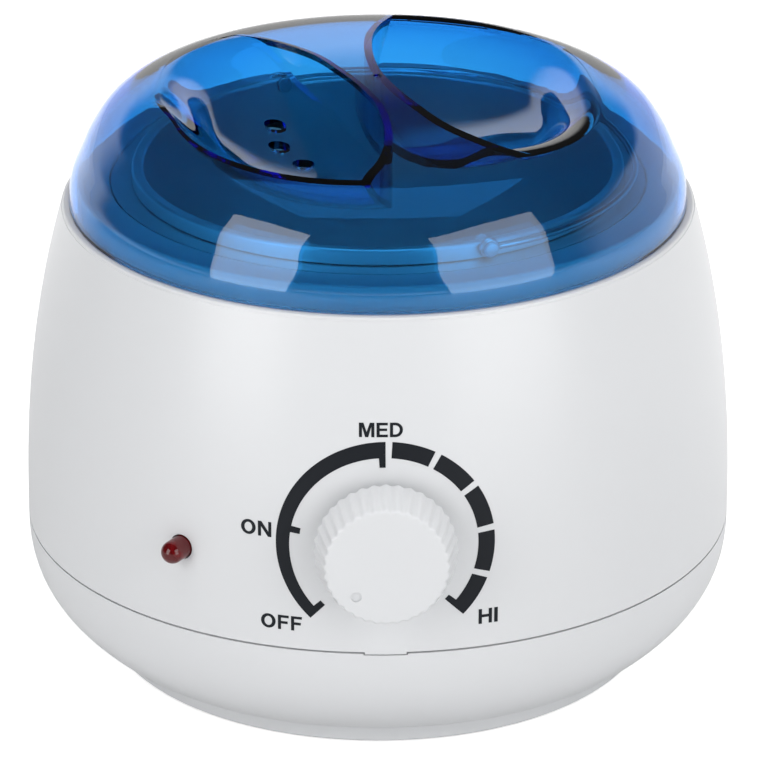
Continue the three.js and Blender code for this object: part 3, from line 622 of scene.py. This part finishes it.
def on_post(obj, index):
    obj.data.transform(Matrix.Translation((post_circle * MM, 0, 0)))
    return about_axis(obj, post_angles[index])


def base_post_top(index):
    return (bridge_low if index % 2 == 0 else post_low) - gap


def upper_shell():
    """The white upper shell with its lid shelf, collar, ring, inner skirt, posts and front bosses."""
    side = between(seam_top, shoulder_height - edge_round, shell_steps)
    inner = between(shoulder_height - 2 * wall, seam_top, shell_inner_steps)
    ledge = ring_top - ledge_depth
    bore = ring_bore - ledge_width
    top_radius = housing_radius(shoulder_height)
    profile = [
        *((housing_radius(z), z) for z in side),
        *fillet(edge_round, top_radius - edge_round, shoulder_height - edge_round, 0, 90),
        (collar_radius, shoulder_height),
        *fillet(collar_round, collar_radius - collar_round, ring_top - collar_round, 0, 90),
        *fillet(collar_round, ring_bore + collar_round, ring_top - collar_round, 90, 180),
        (ring_bore, ledge), (bore, ledge), (bore, ledge - skirt_length),
        (bore + wall, ledge - skirt_length), (bore + wall, ledge - wall),
        (collar_radius - wall, ledge - wall),
        (collar_radius - wall, shoulder_height - wall), (top_radius - 2 * wall, shoulder_height - wall),
        *((housing_radius(z) - wall, z) for z in inner),
    ]
    shell = turned("upper_shell", profile)
    reach = body_radius - wall / 2 - post_circle
    rib_low = seam_bottom + lip_height + gap
    added, bores = [], []
    for i in range(4):
        added.append(on_post(peg(post_radius, post_low, post_top), i))
        added.append(on_post(block(reach, rib_thickness, post_top - rib_low, reach / 2, 0, rib_low), i))
        bores.append(on_post(peg(screw_shank + gap, seam_top - overcut, post_top - wall), i))
    lamp_wall = housing_radius(lamp_height) - wall
    collar = lens_radius + lens_flange + gap
    added.append(facing(pipe(collar, collar + wall / 2, lamp_wall - lens_tail, lamp_wall + wall / 2),
                        lamp_azimuth, lamp_height))
    tab = block(tab_width, wall, tab_drop + 2 * wall, 0, -body_radius + wall / 2, seam_top - tab_drop)
    added.append(cut(tab, pipe(body_radius - wall, body_radius - tab_relief, seam_top - 2 * overcut,
                               seam_top + 2 * wall, shell_facets), operation="INTERSECT"))
    bores.append(facing(peg(shaft_hole, 0, body_radius + overcut), front, knob_height))
    bores.append(facing(peg(lens_radius + gap, 0, body_radius + overcut), lamp_azimuth, lamp_height))
    cut(shell, *added, operation="UNION")
    return tidy_mesh(cut(shell, *bores))


def base_side():
    """The base shell's profile from the axis under its floor, round its side and back over the floor."""
    heights = [foot_height + (seam_bottom - foot_height) * t ** base_step_power for t in shares(base_steps)]
    inner_low = foot_height + wall
    inner = between(seam_bottom - wall, inner_low, base_inner_steps)
    lip = body_radius - wall - gap
    return [
        (0, plate_low), (foot_radius - wall, plate_low), (foot_radius - wall, standoff),
        (foot_radius - foot_ring_round, standoff), (foot_radius, standoff + foot_ring_round),
        (foot_radius, foot_height),
        *((base_radius(z), z) for z in heights),
        (lip, seam_bottom), (lip, seam_bottom + lip_height), (lip - wall + gap, seam_bottom + lip_height),
        *((base_radius(z) - wall, z) for z in inner),
        (foot_radius - wall, inner_low), (foot_radius - wall, plate_top), (0, plate_top),
    ]


def cooling_slot(index):
    """One slot with round ends through the base's floor, along a radius."""
    half = slot_width / 2
    outline = [*fillet(half, slot_inner + slot_length - half, 0, -90, 90, slot_end_steps),
               *fillet(half, slot_inner + half, 0, 90, 270, slot_end_steps)]
    slot = prism("slot", outline, plate_low - overcut, plate_top + overcut)
    return about_axis(slot, (index + 0.5) * 2 * math.pi / slot_count)


def base_shell():
    """The white base shell with its screw posts, cooling slots, foot holes and cord inlet."""
    shell = turned("base_shell", base_side())
    posts = [on_post(peg(post_radius, plate_low + wall / 2, base_post_top(i)), i) for i in range(4)]
    face = body_radius - wall
    boss = facing(peg(inlet_boss, face - inlet_length, face, boss_facets), back, inlet_height)
    cut(shell, *posts, boss, operation="UNION")
    bores = [cooling_slot(i) for i in range(slot_count)]
    for i in range(4):
        top = base_post_top(i)
        bores.append(on_post(peg(screw_head + gap, standoff - overcut, top - post_web), i))
        bores.append(on_post(peg(screw_shank + gap, standoff, top + overcut), i))
        hole = peg(foot_hole, plate_low - overcut, plate_top + overcut, pin_facets, (foot_pads, 0))
        bores.append(about_axis(hole, math.pi / 2 * i))
    for radius, start in ((inlet_hole, body_radius / 2), (gland_flange + 2 * gap, face)):
        bores.append(facing(peg(radius, start, body_radius + overcut, boss_facets), back, inlet_height))
    notch = block(tab_width + 2 * gap, 2 * wall, seam_gap + tab_drop + lip_height, 0, -body_radius + gap,
                  seam_top - tab_drop - gap)
    outside = pipe(body_radius - wall - gap, body_radius + overcut, 0, seam_top + lip_height, shell_facets)
    bores.append(cut(notch, outside, operation="INTERSECT"))
    return tidy_mesh(cut(shell, *bores))


foot_pads = foot_radius - wall - foot_pad - 2 * gap


def rubber_foot(index):
    """A rubber foot whose stem snaps through the floor."""
    top = plate_top + gap
    under = plate_low - gap
    profile = [(0, 0), *fillet(foot_edge, foot_pad - foot_edge, foot_edge, -90, 0), (foot_pad, under),
               (foot_stem, under), (foot_stem, top), (foot_stem + foot_edge, top),
               (foot_stem, top + 2 * foot_edge), (0, top + 2 * foot_edge)]
    obj = turned(f"rubber_foot_{index + 1}", profile, boss_facets, (foot_pads, axis_y, 0))
    return about_axis(obj, math.pi / 2 * index)


def base_screw(index):
    """A pan-head screw with a cross recess, pointing up into its post."""
    seat = base_post_top(index) - post_web - gap
    low = seat - screw_head_height
    edge = screw_head_round
    profile = [(0, low), *fillet(edge, screw_head - edge, low + edge, -90, 0),
               (screw_head, seat), (screw_shank, seat),
               (screw_shank, seat + screw_length - screw_shank), (0, seat + screw_length)]
    obj = turned(f"pan_head_screw_{index + 1}", profile, screw_facets)
    arm = 2 * screw_head * driver_share
    arms = [block(width, depth, driver_depth, 0, 0, low - driver_overcut)
            for width, depth in ((arm, driver_slot), (driver_slot, arm))]
    return on_post(tidy_mesh(cut(obj, *arms)), index)


def cord_bush():
    """The cord inlet's rubber bush: a flange outside, a neck through the boss and a barb inside."""
    out = body_radius - wall + gap
    inside = body_radius - wall - inlet_length - gap
    neck = inlet_hole - gap
    face = out + gland_thickness
    barb = neck + foot_edge + gap
    outer, inner = gland_rounds
    profile = [(gland_bore, inside - 2 * gland_thickness), (neck, inside - 2 * gland_thickness),
               (barb, inside - gap), (barb, inside), (neck, inside), (neck, out),
               (gland_flange, out), *fillet(outer, gland_flange - outer, face - outer, 0, 90),
               *fillet(inner, gland_bore + inner, face - inner, 90, 180)]
    return facing(turned("cord_bush", profile, bush_facets), back, inlet_height)


def well_outer(z):
    return ring_bore - well_inset + well_wall - well_taper * (ring_top - z) / (ring_top - well_floor)


def spun_well():
    """The fixed aluminium bowl with its flange, stud and two stands."""
    low = well_floor + well_corner
    flange = well_high.x
    top = well_high.z
    outer = well_outer(low)
    profile = [
        (0, well_floor), *fillet(well_corner, outer - well_corner, low, -90, 0, corner_steps),
        (well_outer(top - well_wall), top - well_wall), (flange, top - well_wall), (flange, top),
        (well_outer(top) - well_wall, top),
        *fillet(well_corner - well_wall, outer - well_corner, low, 0, -90, corner_steps),
        (0, well_floor + well_wall),
    ]
    bowl = turned("spun_well", profile, fine_facets)
    joined, stand_low = well_floor + well_wall / 2, well_floor - stand_height
    stud = peg(stud_radius, well_low.z, joined, pin_facets)
    places = [(stand_x, side * stand_y) for side in (-1, 1)]
    stands = [peg(stand_radius, stand_low, joined, pin_facets, at) for at in places]
    holes = [peg(stand_bore, stand_low - overcut, well_floor - gap, bore_facets, at) for at in places]
    cut(bowl, stud, *stands, operation="UNION")
    return tidy_mesh(cut(bowl, *holes))


def spun_pot():
    """The lift-out pot: tapered wall, rounded corner and a stiff upright rim with two rivet holes."""
    floor = pot_low.z
    low = floor + pot_corner
    outer = well_outer(low) - well_wall - pot_fit
    rim_low = well_high.z + gap
    under = well_outer(rim_low) - well_wall - pot_fit
    rim = pot_high.x
    top = pot_high.z
    inner = well_outer(top) - well_wall - pot_fit - pot_wall
    edge = pot_rim_round
    profile = [
        (0, floor), *fillet(pot_corner, outer - pot_corner, low, -90, 0, corner_steps),
        (under, rim_low), (rim, rim_low), *fillet(edge, rim - edge, top - edge, 0, 90),
        *fillet(edge, inner + edge, top - edge, 90, 180),
        *fillet(pot_corner - pot_wall, outer - pot_corner, low, 0, -90, corner_steps),
        (0, floor + pot_wall),
    ]
    pot = turned("spun_pot", profile, fine_facets)
    holes = [facing(peg(rivet_shank + rivet_hole_play, under - rivet_hole_reach, body_radius, bore_facets),
                    bail_azimuth + half, pivot_height) for half in (0, math.pi)]
    return tidy_mesh(cut(pot, *holes))


def eye_distance():
    return rim_radius + gap + bail_wire / 2


def rim_rivet(name, half):
    """A rivet through the rim that a wire eye turns on."""
    inside = well_outer(pot_high.z) - well_wall - pot_fit - pot_wall - gap
    outside = eye_distance() + bail_wire / 2 + gap
    top = outside + rivet_thickness
    low = inside - rivet_thickness
    inner, outer = rivet_head_rounds
    profile = [(0, low), *fillet(inner, rivet_head - inner, low + inner, -90, 0),
               (rivet_head, inside), (rivet_shank, inside), (rivet_shank, outside), (rivet_head, outside),
               *fillet(outer, rivet_head - outer, top - outer, 0, 90), (0, top)]
    return facing(turned(name, profile, pin_facets), bail_azimuth + half, pivot_height)


def wire_bail():
    """The bail: one round wire half way round the rim, with an eye bent at each end."""
    loop = eye_radius - bail_wire / 2
    start = loop / eye_distance()
    path, sides = [], wire_sides
    for t in shares(wire_steps):
        angle = start + (math.pi - 2 * start) * t
        radius = eye_distance() + bail_bulge * math.sin(math.pi * t)
        path.append(Vector((radius * math.cos(angle), radius * math.sin(angle), 0)))
    vertices, faces = [], []
    for i, point in enumerate(path):
        along = (path[min(i + 1, len(path) - 1)] - path[max(i - 1, 0)]).normalized()
        across = Vector((along.y, -along.x, 0))
        for k in range(sides):
            angle = 2 * math.pi * k / sides
            offset = across * math.cos(angle) + Vector((0, 0, math.sin(angle)))
            vertices.append(tuple(point + offset * bail_wire / 2))
    for i in range(len(path) - 1):
        for k in range(sides):
            m = (k + 1) % sides
            faces.append((i * sides + k, i * sides + m, (i + 1) * sides + m, (i + 1) * sides + k))
    last = (len(path) - 1) * sides
    faces += [tuple(reversed(range(sides))), tuple(range(last, last + sides))]
    wire = tidy_mesh(mesh_object("wire_bail", vertices, faces, (0, axis_y, 0)))
    eyes = []
    for half in (0, math.pi):
        eye = turned("eye", fillet(bail_wire / 2, loop, 0, 0, 360, sides)[:-1], screw_facets)
        eye.data.transform(Matrix.Translation((0, 0, eye_distance() * MM)))
        eyes.append(facing(eye, half, 0))
    cut(wire, *eyes, operation="UNION")
    wire.data.transform(Matrix.Translation((0, 0, pivot_height * MM)))
    return tidy_mesh(about_axis(wire, bail_azimuth), wire_smooth_angle)


def control_knob():
    """The grip: fine ribs all round, flared towards the housing, with a small sunk pointer in its face."""
    side = knob_depth * knob_side
    middle = (knob_rim + knob_face) / 2
    edge = knob_edge
    profile = [
        (0, 0), (knob_rim - knob_rim_round, 0), (knob_rim, knob_rim_round), (middle, side),
        (knob_face, knob_depth - edge), *fillet(edge, knob_face - edge, knob_depth - edge, 0, 90)[1:],
        (knob_face - knob_bevel, knob_depth), (0, knob_depth),
    ]

    def ribbed(radius, angle, height):
        share = min(max((radius - (knob_face - knob_bevel)) / knob_bevel, 0), 1)
        return radius - share * rib_depth * (1 - math.cos(knob_ribs * angle)) / 2, height

    knob = turned("control_knob", profile, knob_ribs * facets_per_rib, None, ribbed)
    hollow = pipe(hub_radius, knob_face - knob_shell, -overcut, knob_depth - knob_shell, boss_facets)
    reach = knob_depth - 2 * knob_shell + shaft_play
    flat = shaft_radius * shaft_flat_share + shaft_play
    key = block(key_width, bore_radius + flat, reach + 3 * overcut, 0, (flat - bore_radius) / 2,
                -2 * overcut)
    bore = cut(peg(bore_radius, -overcut, reach), key, operation="INTERSECT")
    turn = math.radians(off_angle)
    pointer = peg(pointer_radius, knob_depth - pointer_depth, knob_depth + overcut, screw_facets,
                  (pointer_distance * math.cos(turn), pointer_distance * math.sin(turn)))
    cut(knob, hollow, bore, pointer)
    upright = Matrix.Translation((0, -axis_y * MM, 0))
    lie = Matrix.Translation((0, knob_high.y * MM, knob_height * MM))
    knob.data.transform(lie @ Matrix.Rotation(math.pi / 2, 4, "X") @ upright)
    return tidy_mesh(knob, knob_smooth_angle)


def pilot_lens():
    """The red lamp lens: a dome through the wall, a flange behind it and a hollow for the lamp."""
    seat = math.sqrt((housing_radius(lamp_height + lens_radius + lens_flange) - wall - gap) ** 2
                     - (lens_radius + lens_flange) ** 2) - 2 * gap
    back_face = seat - lens_flange_thickness
    tail = back_face - lens_tail
    tip = housing_radius(lamp_height) + lens_projection
    bore_end = tip - lens_radius
    profile = [
        (0, bore_end), (lens_bore, bore_end - lens_bore), (lens_bore, tail), (lens_radius, tail),
        (lens_radius, back_face), (lens_radius + lens_flange, back_face), (lens_radius + lens_flange, seat),
        (lens_radius, seat), *fillet(lens_radius, 0, tip - lens_radius, 0, 90, lens_dome_steps),
    ]
    return facing(turned("pilot_lens", profile, boss_facets), lamp_azimuth, lamp_height)


def on_shell(x, z, lift):
    """The place on the upper shell's front that lies behind a point of the dial's flat plan."""
    radius = housing_radius(z) + lift
    return x, axis_y - math.sqrt(radius ** 2 - x ** 2), z


def printed(name, flat_faces, flat_points):
    """A thin closed print that follows the shell, from faces in the dial's flat plan."""
    count = len(flat_points)
    vertices = [on_shell(x, z, print_proud) for x, z in flat_points]
    vertices += [on_shell(x, z, -print_sunk) for x, z in flat_points]
    faces = [tuple(face) for face in flat_faces]
    faces += [tuple(i + count for i in reversed(face)) for face in flat_faces]
    edges = {}
    for face in flat_faces:
        for a, b in zip(face, face[1:] + face[:1]):
            edges[(a, b)] = edges.get((a, b), 0) + 1
    faces += [(b, a, a + count, b + count) for a, b in edges if (b, a) not in edges]
    return tidy_mesh(mesh_object(name, vertices, faces), print_smooth_angle)


def band(name, start, end, first_thickness, last_thickness, ticks):
    """A stretch of the dial between two angles, with inward ticks at some of its angles."""
    def thick(t):
        return first_thickness + (last_thickness - first_thickness) * t

    across = dial_columns
    steps = max(int(abs(start - end) / dial_step), across)
    points, faces = [], []

    def grid(columns):
        first = len(points)
        for column in columns:
            points.extend(column)
        rows = len(columns[0])
        for i in range(len(columns) - 1):
            for k in range(rows - 1):
                a = first + i * rows + k
                faces.append([a, a + 1, a + rows + 1, a + rows])

    def at(radius, degrees):
        angle = math.radians(degrees)
        return radius * math.cos(angle), knob_height + radius * math.sin(angle)

    columns = []
    for t in shares(steps):
        inner = dial_radius - thick(t)
        columns.append([at(inner + (dial_radius - inner) * k / across, start + (end - start) * t)
                        for k in range(across + 1)])
    grid(columns)
    obj = printed(name, faces, points)
    marks = []
    for degrees, lean in ticks:
        points, faces = [], []
        half = math.degrees(tick_width / 2 / (dial_radius - dial_thick))
        t = (degrees - start) / (end - start)
        outer = dial_radius - thick(t) * 0.5
        inner = dial_radius - thick(t) - tick_length
        low, high = degrees - half + lean * half, degrees + half + lean * half
        grid([[at(inner + (outer - inner) * k / across, low + (high - low) * u) for k in range(across + 1)]
              for u in (0, 0.5, 1)])
        marks.append(printed("tick", faces, points))
    if marks:
        cut(obj, *marks, operation="UNION")
    return tidy_mesh(obj, print_smooth_angle)


def dial_print():
    """The dial: one growing band from OFF to MED and dashes from there to HI."""
    pieces = [band("dial_band", off_angle, med_angle, dial_thin, dial_thick,
                   [(off_angle, -1), (on_angle, 0), (med_angle, 1)])]
    first = med_angle - dash_gap
    length = (first - hi_angle - (dash_count - 1) * dash_gap) / dash_count
    for i in range(dash_count):
        start = first - i * (length + dash_gap)
        ticks = [(start - length, 1)] if i == dash_count - 1 else []
        pieces.append(band(f"dial_dash_{i + 1}", start, start - length, dial_thick, dial_thick, ticks))
    return pieces


def ring_outline(letter):
    """The outer and inner outlines of a round letter, as shares of its width and height."""
    outer, inner = [], []
    side, level = round_stroke_shares
    closed = letter == "O"
    bow, inner_bow = (0.5, 0.5) if closed else letter_bow_shares
    for t in shares(letter_steps):
        angle = 2 * math.pi * t if closed else math.pi * (t - 0.5)
        outer.append((bow + (1 - bow) * math.cos(angle), 0.5 + 0.5 * math.sin(angle)))
        inner.append((inner_bow + (1 - inner_bow - side) * math.cos(angle),
                      0.5 + (0.5 - level) * math.sin(angle)))
    if closed:
        return outer[:-1], inner[:-1]
    return [(0, 0), *outer, (0, 1)], [(side, level), *inner, (side, 1 - level)]


def label(text, x, z, width, height):
    """One printed word, each letter fitted to its share of the word's width."""
    total = sum(letter_width_shares[letter] for letter in text) + letter_space_share * (len(text) - 1)
    left = x - width / 2
    points, faces = [], []
    for letter in text:
        wide = width * letter_width_shares[letter] / total
        first = len(points)
        if letter in letter_outline_shares:
            outline = letter_outline_shares[letter]
            faces.append(list(range(first, first + len(outline))))
        else:
            outer, inner = ring_outline(letter)
            outline = [*outer, *inner]
            count = len(outer)
            faces += [[first + k for k in (i, (i + 1) % count, count + (i + 1) % count, count + i)]
                      for i in range(count)]
        points += [(left + u * wide, z + (v - 0.5) * height) for u, v in outline]
        left += wide + width * letter_space_share / total
    return printed(f"label_{text}", faces, points)


def run_on(points):
    """The points with one more at each end, which a spline needs."""
    return [2 * points[0] - points[1], *points, 2 * points[-1] - points[-2]]


def on_spline(padded, span, u):
    """The place and the slope at a share of one span of a smooth curve through points."""
    a, b, c, d = padded[span:span + 4]
    bend, twist = 2 * a - 5 * b + 4 * c - d, 3 * b - a - 3 * c + d
    spot = (2 * b + (c - a) * u + bend * u ** 2 + twist * u ** 3) / 2
    return spot, ((c - a) + 2 * bend * u + 3 * twist * u ** 2) / 2


def grip_curve(offset):
    """Points of the grip's S-shaped wall, moved sideways by an offset."""
    points = [Vector((x * lid_radius, y * lid_radius)) for x, y in grip_edge]
    padded, spans, line = run_on(points), len(points) - 1, []
    for t in shares(grip_steps):
        span = min(int(t * spans), spans - 1)
        spot, slope = on_spline(padded, span, t * spans - span)
        slope.normalize()
        line.append(spot + Vector((slope.y, -slope.x)) * offset)
    return line


def prism(name, outline, low, high):
    """An outline of (x, y) points raised from one height to another, about the shells' axis."""
    count = len(outline)
    vertices = [(x, y, low) for x, y in outline] + [(x, y, high) for x, y in outline]
    faces = [tuple(reversed(range(count))), tuple(range(count, 2 * count))]
    faces += [(i, (i + 1) % count, (i + 1) % count + count, i + count) for i in range(count)]
    return tidy_mesh(mesh_object(name, vertices, faces, (0, axis_y, 0)))


def dome_height(radius):
    """The height of the lid's outside over the shells' plane, at a distance from the axis."""
    side = [(lid_radius * r, lid_seat + lid_height * z) for r, z in lid_outline] + [(0, crown)]
    for (outer, low), (inner, high) in zip(side, side[1:]):
        if radius >= inner:
            return low + (high - low) * min((outer - radius) / (outer - inner), 1)
    return crown


def smooth(value, start, end):
    """A share that rises smoothly from 0 at the start to 1 at the end."""
    part = min(max((value - start) / (end - start), 0), 1)
    return part * part * (3 - 2 * part)


def lid_scoop(offset, half_turn):
    """One finger recess, or with an offset its inner side. The half-turned one runs out softly."""
    top = crown + overcut
    low = crown - scoop_depth - offset
    x, y = scoop_place

    def bowl(share, azimuth, level):
        turn = (1 + math.cos(azimuth - scoop_gentle_azimuth)) / 2
        power = scoop_steep + (scoop_gentle - scoop_steep) * turn ** scoop_spread
        reach = share * (scoop_radius * (1 + scoop_reach * turn ** reach_spread) + offset)
        if level > 0.5:
            return reach, top
        from_axis = math.hypot(x + reach * math.cos(azimuth), y + reach * math.sin(azimuth))
        over = dome_height(from_axis) - offset
        soft = 1 if half_turn else smooth(azimuth, *runout_azimuths)
        end = top + (over - top) * soft
        height = low + (end - low) * share ** power
        soft *= smooth(share, *runout_shares)
        return reach, height + (over + runout_lift - height) * soft

    rings = [1 - (1 - t) ** scoop_ring_power for t in shares(scoop_rings)]
    profile = [*((ring, 0) for ring in rings), (1, 1), (0, 1)]
    hollow = turned("scoop", profile, scoop_facets, (x, y + axis_y, 0), bowl)
    far = -lid_radius - overcut
    line = [tuple(p) for p in grip_curve(offset)]
    outline = [*line, (far, line[-1][1]), (far, line[0][1])]
    region = prism("region", outline, lid_seat + overcut, crown + 2 * overcut)
    cut(hollow, region, operation="INTERSECT")
    return about_axis(hollow, math.pi) if half_turn else hollow


def lid_dome(inset):
    """The lid's outside, or with an inset its inside."""
    points = [Vector((lid_radius * r, lid_height * z)) for r, z in lid_outline]
    spots = [on_spline(run_on(points), span, u)[0] for span in range(len(points) - 1) for u in dome_steps]
    last = points[-1]
    side = [(p.x - inset, lid_seat + p.y - inset * p.y / lid_height) for p in (*spots, last)]
    side += [(last.x * s, crown - inset - (lid_height - last.y) * s ** 2) for s in dome_steps[:0:-1]]
    foot = [(0, lid_seat - overcut), (lid_radius - inset, lid_seat - overcut)] if inset else [(0, lid_seat)]
    return turned("dome", [*foot, *side, (0, crown - inset)], shell_facets)


def lid_shell():
    """The clear lid: a thin dome with two scooped recesses and vents through one floor."""
    outside = cut(lid_dome(0), lid_scoop(0, False), lid_scoop(0, True))
    inside = cut(lid_dome(lid_wall), lid_scoop(lid_wall, False), lid_scoop(lid_wall, True))
    vents = [peg(vent_radius, lid_seat, crown, pin_facets, at) for at in vent_places]
    gate = peg(gate_radius, crown - gate_depth, crown + overcut, pin_facets, (0, gate_y))
    cut(outside, inside, *vents, gate)
    outside.name = "clear_lid"
    return tidy_mesh(outside, lid_smooth_angle)


def aimed(name, data, azimuth, elevation, distance, height):
    """A camera or a lamp at a distance from a point on the shells' axis, aimed at that point."""
    obj = bpy.data.objects.new(name, data)
    bpy.context.scene.collection.objects.link(obj)
    flat = math.cos(elevation)
    away = Vector((math.sin(azimuth) * flat, -math.cos(azimuth) * flat, math.sin(elevation)))
    obj.location = (Vector((0, axis_y, height)) + away * distance) * MM
    obj.rotation_euler = (-away).to_track_quat("-Z", "Y").to_euler()
    return obj


def camera():
    """A camera at the photograph's viewpoint."""
    data = bpy.data.cameras.new("viewpoint")
    data.sensor_width = sensor_width
    data.lens = camera_focal * sensor_width / photo_width
    data.shift_x = (photo_width / 2 - axis_pixel) / photo_width
    data.clip_start = clip_near
    data.clip_end = clip_far
    bpy.context.scene.camera = aimed("viewpoint", data, camera_azimuth, camera_elevation, camera_distance,
                                     camera_aim)


def softbox(name, azimuth, elevation, distance, width, height, power):
    """A lit panel that faces the part."""
    data = bpy.data.lights.new(name, "AREA")
    data.shape = "RECTANGLE"
    data.size = width
    data.size_y = height
    data.energy = power
    return aimed(name, data, math.radians(azimuth), math.radians(elevation), distance / MM, panel_aim)


def ramp(tree, source, reach, levels=(0.0, 1.0), curve="SMOOTHSTEP"):
    """A value that goes from one level to the other while its source crosses a reach."""
    sockets = dict(zip(("From Min", "From Max", "To Min", "To Max"), (*reach, *levels)), Value=source)
    return add_node(tree, "ShaderNodeMapRange", sockets, interpolation_type=curve).outputs["Result"]


def surroundings():
    """A room that is pale along its floor line, higher up behind than in front, and dark above."""
    world = bpy.data.worlds.new("room")
    bpy.context.scene.world = world
    world.use_nodes = True
    tree = world.node_tree
    around = add_node(tree, "ShaderNodeTexCoord").outputs["Generated"]
    up = add_node(tree, "ShaderNodeSeparateXYZ", {0: around}).outputs["Z"]
    beside = vector_maths(tree, "DOT_PRODUCT", around, sweep_side)
    in_front = ramp(tree, beside, front_reach)
    above = add_node(tree, "ShaderNodeMix", {"Factor": in_front, "A": ramp(tree, up, back_sweep),
                                             "B": ramp(tree, up, front_sweep)}).outputs["Result"]
    room = add_node(tree, "ShaderNodeMix", {"Factor": in_front, "A": room_dark, "B": room_pale},
                    data_type="RGBA").outputs["Result"]
    whole = add_node(tree, "ShaderNodeMix", {"Factor": above, "A": sweep_colour, "B": room},
                     data_type="RGBA")
    tree.links.new(whole.outputs["Result"], tree.nodes["Background"].inputs["Color"])


def floor():
    """A pale floor that glows white to the eye and through clear parts, and keeps the part's shadow; in
    reflections it glows only behind the part, a painted reflection that is dark in front.
    """
    profile = [(0, -floor_thickness), (floor_radius, -floor_thickness), (floor_radius, 0), (0, 0)]
    obj = turned("floor", profile, small_facets, (0, 0, 0))
    paper = bpy.data.materials.new("floor_paper")
    paper.use_nodes = True
    tree = paper.node_tree
    shader = tree.nodes["Principled BSDF"]
    shader.inputs["Base Color"].default_value = floor_colour
    shader.inputs["Roughness"].default_value = floor_roughness
    shader.inputs["Emission Color"].default_value = (1, 1, 1, 1)
    rays = add_node(tree, "ShaderNodeLightPath").outputs
    spot = add_node(tree, "ShaderNodeTexCoord").outputs["Object"]
    behind = vector_maths(tree, "DOT_PRODUCT", spot, sweep_side)
    # Painted reflection: reflected rays see the floor's glow faintly in front of the part and fully behind
    # it
    painted_reflection_glow = ramp(tree, behind, painted_reflection_reach, painted_reflection_levels, "LINEAR")
    seen = maths(tree, "MULTIPLY", rays["Is Glossy Ray"], painted_reflection_glow)
    for ray in ("Is Camera Ray", "Is Transmission Ray"):
        seen = maths(tree, "MAXIMUM", seen, rays[ray])
    away = vector_maths(tree, "LENGTH", spot)
    level = ramp(tree, away, floor_reach, floor_lift, "LINEAR")
    tree.links.new(maths(tree, "MULTIPLY", seen, level), shader.inputs["Emission Strength"])
    obj.data.materials.append(paper)


bpy.context.scene.view_settings.view_transform = "Standard"
camera()
dress_nodes()
surroundings()
floor()
softbox("left_panel", *left_panel)
softbox("right_panel", *right_panel)
softbox("top_panel", *top_panel).visible_glossy = False
place(upper_shell(), "housing", "shell", "upper_housing")
place(base_shell(), "housing", "shell", "base_housing")
place(lid_shell(), "lid", "lid", "lid")
place(control_knob(), "knob", "shell", "knob")
place(pilot_lens(), "housing", "lens", "lamp_lens")
place(spun_well(), "housing", "aluminium", "heater_well")
place(spun_pot(), "pot", "aluminium", "wax_pot")
place(wire_bail(), "bail", "steel", "pot_handle")
place(cord_bush(), "housing", "rubber", "cord_gland")
place(rim_rivet("front_rivet", 0), "pot", "aluminium", "pivot_rivet_front")
place(rim_rivet("back_rivet", math.pi), "pot", "aluminium", "pivot_rivet_back")
for index in range(4):
    place(rubber_foot(index), "housing", "rubber", f"foot_{index + 1}")
    place(base_screw(index), "housing", "steel", f"base_screw_{index + 1}")
for piece in dial_print():
    place(piece, "housing", None)
for text, (x, z, width, height) in labels.items():
    place(label(text, x, z, width, height), "housing", None)
